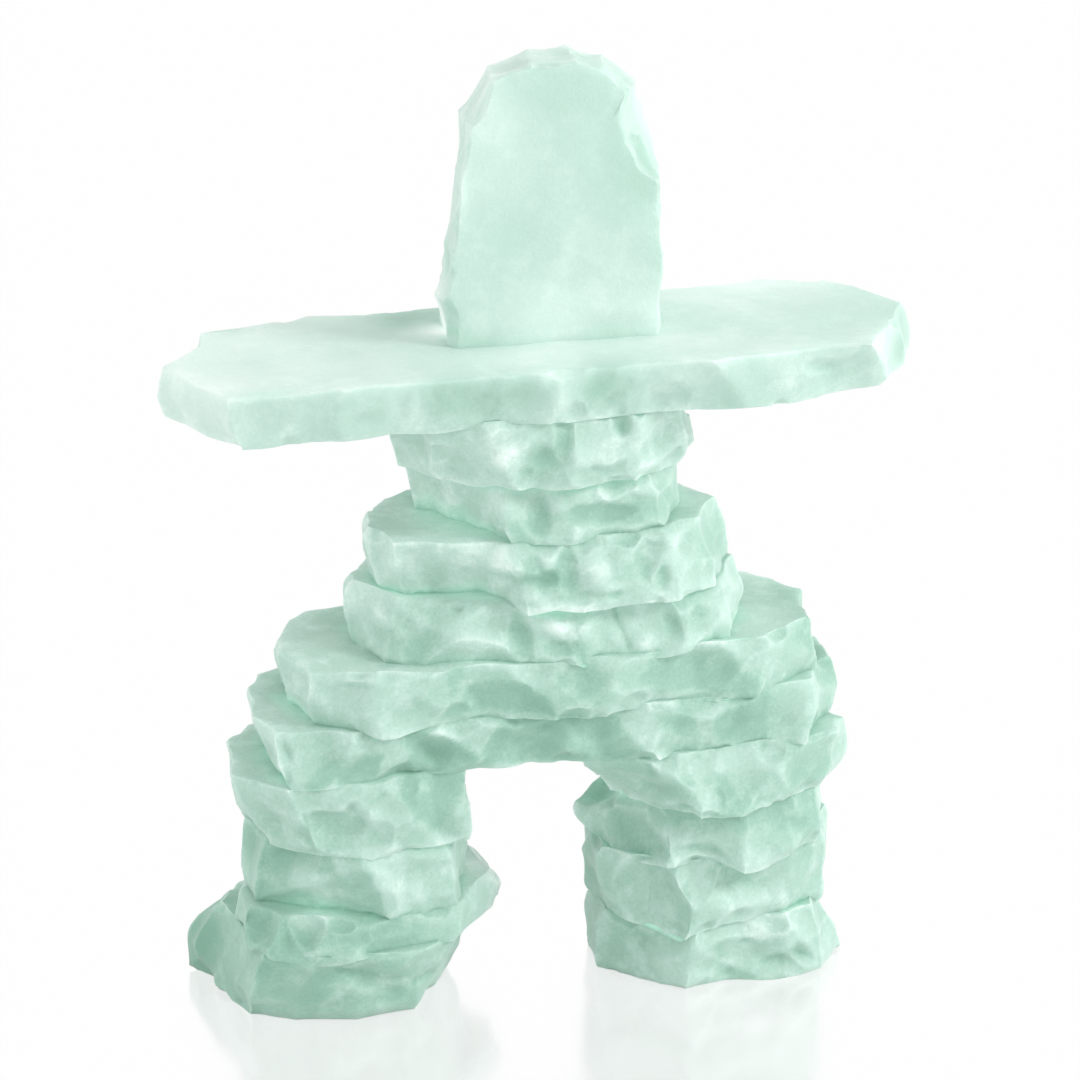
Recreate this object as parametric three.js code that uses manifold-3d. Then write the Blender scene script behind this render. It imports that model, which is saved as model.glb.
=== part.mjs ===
// A stone-stack figure with outspread arms, cast as one solid of pale mint glass with a satin skin.
// Millimetres, +Z up, front towards -Y, arms along X. The origin is under the middle of the figure,
// on the ground.
import * as THREE from 'three';
import { mergeVertices } from 'three/addons/utils/BufferGeometryUtils.js';
import Module from 'manifold-3d';

const wasm = await Module();
wasm.setup();

// Driving size
const HEIGHT = 380;

// Every other measure is a share of the height: one unit is a 380th of it, 1 mm at this size.
const UNIT = HEIGHT / 380;
const SINK = 0.5;            // how far the top of each stone runs into the stone above it
const BELLY = 1.2;           // how far the sides of a stone stand out at half its height
const SEAM = 1.5;            // how far its upper and lower edges are drawn in, which shows the seam
const CHIP = 0.8;            // how unevenly they are drawn in, as a share of that
const CHIP_TURN = 2.3;       // radians of that unevenness from one corner post to the next
const FACET = 11;            // longest facet along a side
const RIM_HOLLOW = 0.6;      // depth of a hollowed face at the edges, as a share of its middle
const LEVELS = [0, 0.14, 0.5, 0.84, 1];
const BACK_POSTS = 4;        // corners on the hidden side of a stone
const BACK_BULGE = 0.06;     // how far the bow of the back stands out past the ends, as a share
const BACK_TAPER = 0.98;     // width of the back at the foot, as a share of its width at the top
const BACK_LEAN = 3;         // how far the foot of a back corner is drawn in
const BACK_WANDER = 2.5;     // how far the back corners stray from an even bow
const BACK_HOLLOW = 1.5;     // how deep the faces of the back are hollowed
const BITE_TURNS = 36;       // facets round a struck hollow

// A stone is a ring of corner posts between two level faces. A row of posts is one post:
// x and y of its top, x and y of its foot, how deep the face after it is hollowed,
// and how far the post stands out at half height, where it is a spur.
// The rows run from the left end along the front to the right end, and the back follows by rule.
// A row of bites is one struck hollow: the middle of an egg, then half its length along X, Y and Z.
const stones = {
  rightFoot: { base: 0, top: 28, back: 34, posts: [
    [20, 4, 19, 6, 1], [20, -20, 17, -17, 1], [36, -36, 32, -31, 1], [52, -46, 48, -45, 1],
    [72, -41, 66, -40, 1], [90, -42, 89, -47, 1], [102, -38, 107, -39, 1], [106, -24, 121, -22, 1],
    [104, 0, 119, 4, 1],
  ], bites: [[86, -66, 3, 36, 24, 16]] },
  rightThird: { base: 28, top: 57, back: 32, posts: [
    [15, -6, 18, 0, 1], [16, -24, 21, -20, 1], [31, -39, 30, -41, 1.5], [46, -45, 44, -52, 1.5],
    [66, -49, 62, -45, 1.5], [92, -41, 90, -38, 1], [109, -29, 109, -29, 1], [117, -6, 117, -4, 1],
  ], bites: [[8, -69, 40, 44, 44, 40], [78, -86, 46, 50, 42, 44]] },
  rightSecond: { base: 57, top: 83, back: 32, posts: [
    [28, -6, 18, -14, 2, 12], [27, -20, 21, -28, 1], [37, -37, 40, -47, 1], [52, -49, 54, -45, 1],
    [68, -50, 69, -54, 1], [88, -44, 90, -45, 1], [104, -32, 105, -37, 1], [111, -5, 114, -8, 1],
  ], bites: [[-1, -58, 70, 44, 44, 40]] },
  rightFirst: { base: 83, top: 107, back: 34, posts: [
    [8, -6, 23, -2, 1], [3, -44, 21, -23, 1], [34, -50, 50, -57, 1.5], [60, -47, 67, -59, 1],
    [92, -49, 86, -48, 1], [112, -42, 104, -37, 1], [118, -30, 116, -22, 1, 1],
    [111, -14, 114, -4, 1, 1],
  ] },
  leftFoot: { base: 0, top: 33, back: 36, posts: [
    [-129, 16, -146, 22, 1, 4], [-134, 0, -142, 13, 1, 7], [-128, -12, -136, -4, 1],
    [-122, -42, -128, -27, 1], [-106, -49, -110, -35, 1], [-84, -52, -86, -39, 1],
    [-62, -48, -61, -36, 1], [-45, -40, -50, -18, 1], [-35, -16, -41, 0, 1],
  ], bites: [[-82, -86, 22, 56, 40, 40]] },
  leftThird: { base: 33, top: 46, back: 34, posts: [
    [-127, -4, -128, -6, 1], [-126, -25, -129, -30, 1], [-114, -35, -123, -44, 1],
    [-90, -45, -86, -53, 1], [-66, -43, -69, -47, 1], [-43, -37, -45, -43, 1],
    [-25, -12, -23, -12, 1, 1], [-28, 12, -21, 8, 1, 1],
  ] },
  leftSecond: { base: 46, top: 76, back: 32, posts: [
    [-124, -4, -124, -2, 1], [-117, -20, -122, -18, 1], [-98, -42, -104, -28, 1],
    [-80, -46, -73, -45, 0.5], [-50, -41, -44, -38, 0.5], [-38, -18, -37, -14, 1],
    [-38, 8, -37, 10, 1],
  ], bites: [[-92, -79, 50, 50, 38, 36]] },
  leftFirst: { base: 76, top: 107, back: 32, posts: [
    [-118, 20, -113, 16, 1], [-129, 5, -124, -2, 1], [-132, -29, -118, -22, 1],
    [-113, -49, -100, -44, 1], [-85, -49, -80, -48, 1], [-60, -45, -52, -43, 1],
    [-42, -43, -40, -42, 1], [-40, -16, -38, -14, 1],
  ], bites: [[-90, -83, 82, 50, 38, 34]] },
  lowerHip: { base: 107, top: 129, back: 38, posts: [
    [-103, 19, -100, 16, 1], [-115, 14, -110, 10, 1], [-121, 2, -114, -2, 1],
    [-122, -26, -113, -22, 1], [-117, -43, -112, -50, 1], [-90, -51, -96, -49, 1],
    [-50, -48, -60, -44, 1], [-18, -48, -26, -45, 1], [15, -51, 6, -46, 1], [40, -49, 34, -50, 1.5],
    [72, -48, 70, -45, 1.5], [100, -39, 95, -50, 1.5], [114, -18, 114, -21, 1], [115, 4, 115, 6, 1],
  ], bites: [
    [-42, -84, 112, 60, 40, 34], [12, -86, 128, 50, 40, 40], [60, -86, 110, 55, 40, 30],
  ] },
  upperHip: { base: 129, top: 151, back: 38, backPosts: 3, posts: [
    [-77, 27, -77, 25, 1], [-93, 24, -92, 22, 1], [-101, 18, -100, 16, 1], [-108, 4, -105, 2, 1],
    [-111, -19, -105, -18, 1], [-102, -38, -99, -37, 1], [-80, -48, -76, -54, 1],
    [-53, -52, -45, -47, 1], [-29, -51, -1, -55, 0.5], [30, -52, 3, -55, 1], [52, -50, 44, -49, 1],
    [80, -44, 74, -49, 1.5], [101, -31, 104, -29, 1.5], [108, 4, 109, -2, 1.5], [99, 17, 100, 15, 1],
    [88, 28, 89, 26, 1],
  ], bites: [[-28, -89, 132, 56, 40, 44], [52, -86, 148, 62, 40, 40]] },
  lowerChest: { base: 151, top: 173.5, back: 38, posts: [
    [-69, 17, -70, 15, 1], [-79, 4, -79, 0, 1], [-81, -8, -80, -14, 1], [-65, -29, -72, -37, 1],
    [-40, -38, -42, -54, 1.5], [-18, -42, -18, -49, 1], [8, -44, 5, -55, 1], [40, -44, 46, -51, 1],
    [62, -34, 66, -39, 1], [74, -12, 76, -12, 1, 1],
  ], bites: [[-46, -81, 152, 50, 38, 26], [24, -82, 168, 50, 38, 40]] },
  upperChest: { base: 173.5, top: 199, back: 34, posts: [
    [-51, 23, -52, 21, 1], [-62, 16, -63, 14, 1], [-71, 4, -70, 0, 1], [-75, -16, -69, -18, 1],
    [-67, -34, -62, -25, 1], [-39, -42, -32, -27, 1.5], [-23, -44, -18, -50, 1],
    [11, -45, 5, -53, 1], [37, -43, 42, -51, 1], [54, -32, 60, -38, 1], [66, -14, 72, -10, 1],
    [59, 4, 64, 8, 1],
  ] },
  lowerNeck: { base: 199, top: 221.5, back: 32, posts: [
    [-56, -2, -51, 0, 1], [-45, -20, -38, -16, 1], [-26, -33, -24, -44, 1], [4, -39, 0, -46, 1],
    [32, -38, 37, -41, 1], [45, -22, 48, -22, 1], [49, 0, 53, 2, 1],
  ] },
  upperNeck: { base: 221.5, top: 249.5, back: 34, posts: [
    [-63, -12, -61, -6, 1], [-53, -44, -46, -27, 1], [-36, -49, -20, -44, 1], [0, -49, 0, -47, 1],
    [26, -46, 26, -44, 1], [42, -38, 48, -29, 1, 1], [44, -14, 59, -4, 1, 2],
  ] },
  arms: { base: 249.5, top: 270.5, seam: 0.8, posts: [
    [-152, -16, -150, -10, 0.6], [-142, -43, -138, -34, 0.6], [-133, -58, -128, -53, 1.5],
    [-91, -61, -90, -52, 1], [-58, -56, -47, -47, 1.5], [-15, -57, -6, -51, 1],
    [9, -54, 12, -49, 1], [36, -55, 37, -46, 0.8], [51, -59, 67, -50, 1.5], [88, -50, 98, -44, 1.5],
    [116, -52, 128, -34, 1.5], [134, -22, 141, -14, 1], [143, -2, 149, 3, 0.5],
    [131, 20, 131, 17, 1], [122, 30, 120, 25, 1.5], [99, 41, 95, 35, 1.5], [57, 35, 60, 31, 1.5],
    [-37, 33, -35, 28, 2], [-91, 31, -90, 26, 1.5], [-131, 22, -127, 17, 1.5],
    [-138, 0, -134, -4, 0.6],
  ], bites: [[103, -69, 263, 27, 24, 10]] },
};

// The head is a stone set on edge: its rows are x and z of the front face, then of the back face.
const head = { base: -18, top: 20, belly: 0, seam: 0, posts: [
  [-40, 270, -36, 270, 0], [40, 270, 46, 270, 0.8], [41, 303, 48, 300, 1.2], [40, 332, 48, 328, 1.5],
  [28, 347, 45, 346, 1], [25, 369, 42, 361, 0.8], [17, 377, 26, 374, 0.6], [7, 380, 11, 377, 0.8],
  [-10, 379, -3, 376, 0.8], [-25, 375, -18, 370, 2], [-35, 358, -30, 354, 1.5],
  [-38, 333, -31, 334, 1.5], [-41, 308, -36, 304, 1.8], [-43, 290, -41, 282, 1],
] };

// Corner posts of a stone, the hidden ones on a bow from the right end round to the left end
function allPosts(stone) {
  const front = stone.posts.map(([topX, topY, footX, footY, hollow, spur = 0]) => (
    { topX, topY, footX, footY, hollow, spur }));
  if (stone.back === undefined) {
    return front;
  }
  const right = front[front.length - 1];
  const left = front[0];
  const middle = (right.topX + left.topX) / 2;
  const reach = (right.topX - left.topX) / 2;
  const count = stone.backPosts ?? BACK_POSTS;
  const hidden = Array.from({ length: count }, (_, i) => {
    const turn = Math.PI * (i + 1) / (count + 1);
    const endY = THREE.MathUtils.lerp(right.topY, left.topY, (i + 1) / (count + 1));
    const stray = BACK_WANDER * Math.sin(3 * i + stone.base);
    const topX = middle + reach * Math.cos(turn) * (1 + BACK_BULGE * Math.sin(turn));
    const topY = endY + (stone.back - endY) * Math.sqrt(Math.sin(turn)) + stray;
    return {
      topX, topY, footX: topX * BACK_TAPER, footY: topY - BACK_LEAN, hollow: BACK_HOLLOW, spur: 0 };
  });
  return front.concat(hidden);
}

// Outline of a stone at a level between 0 at its foot and 1 at its top
function outlineAt(stone, posts, level) {
  const swell = 4 * level * (1 - level);
  const edge = level === 0 || level === 1 ? stone.seam ?? SEAM : 0;
  const belly = stone.belly ?? BELLY;
  const corners = posts.map((p) => new THREE.Vector2(
    THREE.MathUtils.lerp(p.footX, p.topX, level),
    THREE.MathUtils.lerp(p.footY, p.topY, level)));
  const middle = corners.reduce((sum, c) => sum.add(c), new THREE.Vector2())
    .divideScalar(corners.length);
  corners.forEach((corner, i) => {
    const outward = corner.clone().sub(middle).normalize();
    const stand = swell * belly + swell * swell * posts[i].spur;
    const chipped = edge * (1 + CHIP * Math.sin(CHIP_TURN * i + 4 * level + stone.base));
    corner.addScaledVector(outward, stand - chipped);
  });
  const points = [];
  corners.forEach((corner, i) => {
    const next = corners[(i + 1) % corners.length];
    const inward = new THREE.Vector2(corner.y - next.y, next.x - corner.x).normalize();
    const steps = stepsBetween(posts[i], posts[(i + 1) % posts.length]);
    for (let s = 0; s < steps; s += 1) {
      const along = s / steps;
      const bow = 4 * along * (1 - along) * THREE.MathUtils.lerp(RIM_HOLLOW, 1, swell);
      points.push(corner.clone().lerp(next, along).addScaledVector(inward, posts[i].hollow * bow));
    }
  });
  return points;
}

function stepsBetween(post, next) {
  const length = Math.hypot(next.topX - post.topX, next.topY - post.topY);
  const footLength = Math.hypot(next.footX - post.footX, next.footY - post.footY);
  return Math.max(1, Math.round(Math.max(length, footLength) / FACET));
}

// Closed solid between the outlines of a stone, its two faces flat
function stoneGeometry(stone, sink = SINK) {
  const posts = allPosts(stone);
  const positions = [];
  const indices = [];
  const outlines = LEVELS.map((level) => outlineAt(stone, posts, level));
  const count = outlines[0].length;
  LEVELS.forEach((level, ring) => {
    const z = THREE.MathUtils.lerp(stone.base, stone.top + sink, level);
    outlines[ring].forEach((p) => positions.push(p.x * UNIT, p.y * UNIT, z * UNIT));
  });
  for (let ring = 0; ring + 1 < LEVELS.length; ring += 1) {
    for (let i = 0; i < count; i += 1) {
      const a = ring * count + i;
      const b = ring * count + (i + 1) % count;
      indices.push(a, b, b + count, a, b + count, a + count);
    }
  }
  const topRing = (LEVELS.length - 1) * count;
  THREE.ShapeUtils.triangulateShape(outlines[0], []).forEach(([a, b, c]) => {
    indices.push(a, c, b);
  });
  THREE.ShapeUtils.triangulateShape(outlines[LEVELS.length - 1], []).forEach(([a, b, c]) => {
    indices.push(topRing + a, topRing + b, topRing + c);
  });
  const geometry = new THREE.BufferGeometry();
  geometry.setAttribute('position', new THREE.Float32BufferAttribute(positions, 3));
  geometry.setIndex(indices);
  return geometry;
}

function biteGeometry([x, y, z, halfX, halfY, halfZ]) {
  const ball = new THREE.SphereGeometry(1, BITE_TURNS, BITE_TURNS / 2).rotateX(Math.PI / 2);
  return ball.scale(halfX * UNIT, halfY * UNIT, halfZ * UNIT).translate(x * UNIT, y * UNIT, z * UNIT);
}

function toSolid(geometry) {
  geometry.deleteAttribute('normal');
  geometry.deleteAttribute('uv');
  const merged = mergeVertices(geometry, 1e-4);
  return new wasm.Manifold(new wasm.Mesh({
    numProp: 3,
    vertProperties: new Float32Array(merged.attributes.position.array),
    triVerts: new Uint32Array(merged.index.array),
  }));
}

function toGeometry(solid) {
  const mesh = solid.getMesh();
  const geometry = new THREE.BufferGeometry();
  geometry.setAttribute('position', new THREE.Float32BufferAttribute(mesh.vertProperties, 3));
  geometry.setIndex(Array.from(mesh.triVerts));
  return geometry;
}

function struckStone(stone) {
  const bites = stone.bites ?? [];
  return bites.reduce(
    (whole, bite) => whole.subtract(toSolid(biteGeometry(bite))), toSolid(stoneGeometry(stone)));
}

// All stones run together into one casting.
function figureGeometry() {
  const upright = toSolid(stoneGeometry(head, 0).rotateX(Math.PI / 2));
  const stack = Object.values(stones).map(struckStone)
    .reduce((whole, stone) => whole.add(stone), upright);
  const geometry = toGeometry(stack);
  geometry.computeBoundingBox();
  const middle = geometry.boundingBox.getCenter(new THREE.Vector3());
  return geometry.translate(-middle.x, -middle.y, -geometry.boundingBox.min.z);
}

const satinGlass = new THREE.MeshStandardMaterial({ color: 0xc4e3d8, roughness: 0.6, metalness: 0 });

const figure = new THREE.Group();
const inukshuk = new THREE.Mesh(figureGeometry(), satinGlass);
inukshuk.name = 'inukshuk';
figure.add(inukshuk);

export default figure;
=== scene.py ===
# %% [markdown]
# # A stone-stack figure in satin mint glass
#
# This lesson dresses one solid: a figure of flat stones with outspread arms, cast whole in pale
# mint glass. The solid gives the stones, their seams and their broad scars. What it leaves out is
# what the eye and the hand find on the real thing: chipped arrises, scars of struck flakes, the
# lumps of the neck and chest, and the etched grain of the skin.
#
# The frame comes first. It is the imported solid, and everything below is placed by it.

import bpy
import numpy as np
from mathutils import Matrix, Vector
from mathutils.bvhtree import BVHTree


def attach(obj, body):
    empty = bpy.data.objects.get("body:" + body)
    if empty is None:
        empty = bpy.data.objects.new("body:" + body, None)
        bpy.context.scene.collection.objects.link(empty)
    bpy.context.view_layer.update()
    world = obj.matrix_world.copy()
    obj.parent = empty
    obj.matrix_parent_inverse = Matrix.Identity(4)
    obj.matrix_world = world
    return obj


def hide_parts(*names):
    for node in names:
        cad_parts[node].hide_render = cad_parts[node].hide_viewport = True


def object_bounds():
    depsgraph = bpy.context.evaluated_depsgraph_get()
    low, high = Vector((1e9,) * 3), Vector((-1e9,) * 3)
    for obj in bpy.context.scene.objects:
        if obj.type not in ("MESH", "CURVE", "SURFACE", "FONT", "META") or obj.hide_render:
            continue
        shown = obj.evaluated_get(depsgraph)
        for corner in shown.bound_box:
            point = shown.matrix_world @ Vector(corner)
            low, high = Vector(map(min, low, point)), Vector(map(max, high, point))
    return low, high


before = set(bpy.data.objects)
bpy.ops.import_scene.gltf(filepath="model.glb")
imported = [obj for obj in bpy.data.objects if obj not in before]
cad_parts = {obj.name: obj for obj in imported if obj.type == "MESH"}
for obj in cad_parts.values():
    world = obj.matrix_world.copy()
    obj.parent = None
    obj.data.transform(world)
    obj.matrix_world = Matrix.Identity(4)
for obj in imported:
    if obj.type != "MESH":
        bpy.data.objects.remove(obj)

cad_low, cad_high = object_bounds()
HEIGHT_UNITS = 380
UNIT = (cad_high.z - cad_low.z) / HEIGHT_UNITS
print("solid from", [round(v, 4) for v in cad_low], "to", [round(v, 4) for v in cad_high])
print("one unit is", round(UNIT * 1000, 4), "mm")

# %% [markdown]
# ## The table of stones
#
# Each stone is a ring of corner posts between two faces. A row of posts is one post: x and y of
# its top, x and y of its foot, how deep the face after it is hollowed, and how far it stands out
# at half height where it is a spur. The rows run from the left end along the front to the right
# end, and the hidden back follows by rule. A row of bites is one broad scar: the middle of an egg
# and half its length along X, Y and Z. `skin` says what the side faces are like.
#
# Stones like these could be sculpted by hand. A table is chosen because every post can be read,
# set against the real thing and moved by itself. The numbers are those of the solid, so the fine
# mesh keeps its form. Only the head, the left foot and the top stone of the right leg have a few
# posts that stand nearer to the real ones, most of them by a few millimetres.

# %% The legs
stones = {
    "right_foot": dict(base=0, top=28, back=34, skin="flaked", posts=[
        (20, 4, 19, 6, 1), (20, -20, 17, -17, 1), (36, -36, 32, -31, 1), (52, -46, 48, -45, 1),
        (72, -41, 66, -40, 1), (90, -42, 89, -47, 1), (102, -38, 107, -39, 1),
        (106, -24, 121, -22, 1), (104, 0, 119, 4, 1),
    ], bites=[(86, -66, 3, 36, 24, 16)]),
    "right_third": dict(base=28, top=57, back=32, skin="flaked", posts=[
        (15, -6, 18, 0, 1), (16, -24, 21, -20, 1), (31, -39, 30, -41, 1.5), (46, -45, 44, -52, 1.5),
        (66, -49, 62, -45, 1.5), (92, -41, 90, -38, 1), (109, -29, 109, -29, 1),
        (117, -6, 117, -4, 1),
    ], bites=[(8, -69, 40, 44, 44, 40), (78, -86, 46, 50, 42, 44)]),
    "right_second": dict(base=57, top=83, back=32, skin="flaked", posts=[
        (28, -6, 18, -14, 2, 12), (27, -20, 21, -28, 1), (37, -37, 40, -47, 1),
        (52, -49, 54, -45, 1), (68, -50, 69, -54, 1), (88, -44, 90, -45, 1),
        (104, -32, 105, -37, 1), (111, -5, 114, -8, 1),
    ], bites=[(-1, -58, 70, 44, 44, 40)]),
    "right_first": dict(base=83, top=107, back=34, skin="flaked", posts=[
        (8, -6, 23, -2, 1), (3, -44, 21, -23, 1), (42, -51, 49, -57, 1.5), (60, -47, 67, -59, 1),
        (92, -49, 86, -48, 1), (112, -42, 104, -37, 1), (118, -30, 116, -22, 1, 1),
        (111, -14, 114, -4, 1, 1),
    ]),
    "left_foot": dict(base=0, top=33, back=36, skin="flaked", posts=[
        (-129, 18, -146, 20, 1, 5), (-133, 8, -138, 11, 1, 6), (-128, -12, -137, 1, 1),
        (-122, -42, -128, -27, 1), (-106, -49, -110, -35, 1), (-84, -52, -86, -39, 1),
        (-62, -48, -61, -36, 1), (-45, -40, -50, -18, 1), (-35, -16, -41, 0, 1),
    ], bites=[(-82, -86, 22, 56, 40, 40)]),
    "left_third": dict(base=33, top=46, back=34, skin="flaked", posts=[
        (-127, -4, -128, -6, 1), (-126, -25, -129, -30, 1), (-114, -35, -123, -44, 1),
        (-90, -45, -86, -53, 1), (-66, -43, -69, -47, 1), (-43, -37, -45, -43, 1),
        (-25, -12, -23, -12, 1, 1), (-28, 12, -21, 8, 1, 1),
    ]),
    "left_second": dict(base=46, top=76, back=32, skin="flaked", posts=[
        (-124, -4, -124, -2, 1), (-117, -20, -122, -18, 1), (-98, -42, -104, -28, 1),
        (-80, -46, -73, -45, 0.5), (-50, -41, -44, -38, 0.5), (-38, -18, -37, -14, 1),
        (-38, 8, -37, 10, 1),
    ], bites=[(-92, -79, 50, 50, 38, 36)]),
    "left_first": dict(base=76, top=107, back=32, skin="flaked", posts=[
        (-118, 20, -113, 16, 1), (-129, 5, -124, -2, 1), (-132, -29, -118, -22, 1),
        (-113, -49, -100, -44, 1), (-85, -49, -80, -48, 1), (-60, -45, -52, -43, 1),
        (-42, -43, -40, -42, 1), (-40, -16, -38, -14, 1),
    ], bites=[(-90, -83, 82, 50, 38, 34)]),
}
print("stones of the legs:", len(stones))

# %% The hips, chest, neck and arms
stones |= {
    "lower_hip": dict(base=107, top=129, back=38, skin="flaked", posts=[
        (-103, 19, -100, 16, 1), (-115, 14, -110, 10, 1), (-121, 2, -114, -2, 1),
        (-122, -26, -113, -22, 1), (-117, -43, -112, -50, 1), (-90, -51, -96, -49, 1),
        (-50, -48, -60, -44, 1), (-18, -48, -26, -45, 1), (15, -51, 6, -46, 1),
        (40, -49, 34, -50, 1.5), (72, -48, 70, -45, 1.5), (100, -39, 95, -50, 1.5),
        (114, -18, 114, -21, 1), (115, 4, 115, 6, 1),
    ], bites=[(-42, -84, 112, 60, 40, 34), (12, -86, 128, 50, 40, 40), (60, -86, 110, 55, 40, 30)]),
    "upper_hip": dict(base=129, top=151, back=38, back_posts=3, skin="flaked", posts=[
        (-77, 27, -77, 25, 1), (-93, 24, -92, 22, 1), (-101, 18, -100, 16, 1),
        (-108, 4, -105, 2, 1), (-111, -19, -105, -18, 1), (-102, -38, -99, -37, 1),
        (-80, -48, -76, -54, 1), (-53, -52, -45, -47, 1), (-29, -51, -1, -55, 0.5),
        (30, -52, 3, -55, 1), (52, -50, 44, -49, 1), (80, -44, 74, -49, 1.5),
        (101, -31, 104, -29, 1.5), (108, 4, 109, -2, 1.5), (99, 17, 100, 15, 1),
        (88, 28, 89, 26, 1),
    ], bites=[(-28, -89, 132, 56, 40, 44), (52, -86, 148, 62, 40, 40)]),
    "lower_chest": dict(base=151, top=173.5, back=38, skin="knobbly", posts=[
        (-69, 17, -70, 15, 1), (-79, 4, -79, 0, 1), (-81, -8, -80, -14, 1), (-65, -29, -72, -37, 1),
        (-40, -38, -42, -54, 1.5), (-18, -42, -18, -49, 1), (8, -44, 5, -55, 1),
        (40, -44, 46, -51, 1), (62, -34, 66, -39, 1), (74, -12, 76, -12, 1, 1),
    ], bites=[(-46, -81, 152, 50, 38, 26), (24, -82, 168, 50, 38, 40)]),
    "upper_chest": dict(base=173.5, top=199, back=34, skin="knobbly", posts=[
        (-51, 23, -52, 21, 1), (-62, 16, -63, 14, 1), (-71, 4, -70, 0, 1), (-75, -16, -69, -18, 1),
        (-67, -34, -62, -25, 1), (-39, -42, -32, -27, 1.5), (-23, -44, -18, -50, 1),
        (11, -45, 5, -53, 1), (37, -43, 42, -51, 1), (54, -32, 60, -38, 1), (66, -14, 72, -10, 1),
        (59, 4, 64, 8, 1),
    ]),
    "lower_neck": dict(base=199, top=221.5, back=32, skin="knobbly", posts=[
        (-56, -2, -51, 0, 1), (-45, -20, -38, -16, 1), (-26, -33, -24, -44, 1), (4, -39, 0, -46, 1),
        (32, -38, 37, -41, 1), (45, -22, 48, -22, 1), (49, 0, 53, 2, 1),
    ]),
    "upper_neck": dict(base=221.5, top=249.5, back=34, skin="knobbly", posts=[
        (-63, -12, -61, -6, 1), (-53, -44, -46, -27, 1), (-36, -49, -20, -44, 1), (0, -49, 0, -47, 1),
        (26, -46, 26, -44, 1), (42, -38, 48, -29, 1, 1), (44, -14, 59, -4, 1, 2),
    ]),
    "arms": dict(base=249.5, top=270.5, seam=0.8, skin="slab", posts=[
        (-152, -16, -150, -10, 0.6), (-142, -43, -138, -34, 0.6), (-133, -58, -128, -53, 1.5),
        (-91, -61, -90, -52, 1), (-58, -56, -47, -47, 1.5), (-15, -57, -6, -51, 1),
        (9, -54, 12, -49, 1), (36, -55, 37, -46, 0.8), (51, -59, 67, -50, 1.5),
        (88, -50, 98, -44, 1.5), (116, -52, 128, -34, 1.5), (134, -22, 141, -14, 1),
        (143, -2, 149, 3, 0.5), (131, 20, 131, 17, 1), (122, 30, 120, 25, 1.5),
        (99, 41, 95, 35, 1.5), (57, 35, 60, 31, 1.5), (-37, 33, -35, 28, 2),
        (-91, 31, -90, 26, 1.5), (-131, 22, -127, 17, 1.5), (-138, 0, -134, -4, 0.6),
    ], bites=[(103, -69, 263, 27, 24, 10)]),
}

# %% The head, a stone set on edge: x and z of its front face, then of its back face
stones["head"] = dict(
    base=-18, top=20, belly=0, seam=0, on_edge=True, round=1.1, skin="plate", posts=[
        (-41, 266, -37, 266, 0), (40, 266, 46, 266, 0.8), (41, 303, 48, 300, 1.2),
        (39, 332, 48, 329, 1), (28, 347, 46, 344, 0.6), (23, 357, 43, 353, 0.5),
        (29, 368, 39, 363, 0.8), (17, 376.5, 26, 373, 0.6), (7, 380, 11, 377, 0.8),
        (-10, 379, -3, 376, 0.8), (-25, 374, -18, 370, 1.2), (-34, 358, -30, 354, 1.5),
        (-38, 333, -31, 334, 1.5), (-41, 308, -36, 304, 1.8), (-43, 290, -41, 282, 1),
    ])
print("stones in all:", len(stones))

# %% [markdown]
# ## The marks of the front
#
# The legs and hips are broken stone: flat facets that meet in sharp arrises. Planes could cut
# them, but each plane would also cut the facet next to it. So their fronts are nets: joints with
# x, z and how far each stands out, and the faces between them, spelled with the letters of their
# joints.
#
# Neck, chest and arms are softer, with lumps and hollows. Each row is one mark on a stone's
# front: the x and z of its middle, half its width, half its height, and how far it stands out.
# Below nothing it is a scar, and its rim is sharp. The broken stones have a few of these too.

# %% Marks of the legs and hips
marks = {
    "right_foot": [(74, 17, 5, 3, -0.8), (30, 20, 6, 5, -0.6), (110, 12, 5, 6, -0.7)],
    "right_third": [(41, 30, 4, 4, -1.8), (98, 45, 12, 9, 0.8), (106, 38, 6, 6, -0.8)],
    "right_second": [(38, 63, 5, 4, -0.8), (98, 78, 5, 4, -0.7)],
    "right_first": [(104, 103, 5, 4, -1.2), (98, 90, 9, 5, -0.9)],
    "left_foot": [(-128, 10, 3, 3, -1.2), (-74, 12, 8, 5, -0.7), (-92, 25, 5, 3, -0.7)],
    "left_third": [(-102, 41, 3, 3, -0.8), (-62, 40, 5, 3, -0.7)],
    "left_second": [(-101, 64, 3, 4, 1.0), (-56, 64, 9, 9, -0.7), (-50, 52, 6, 3, 0.7)],
    "left_first": [(-97, 86, 8, 5, -0.5), (-46, 90, 4, 6, 0.8)],
    "lower_hip": [(98, 120, 7, 5, 0.9), (-112, 123, 3, 3, -0.6)],
    "upper_hip": [(-84, 147, 6, 2, -0.9), (94, 140, 7, 7, 1.0)],
}
print("marks so far:", sum(len(rows) for rows in marks.values()))

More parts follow.
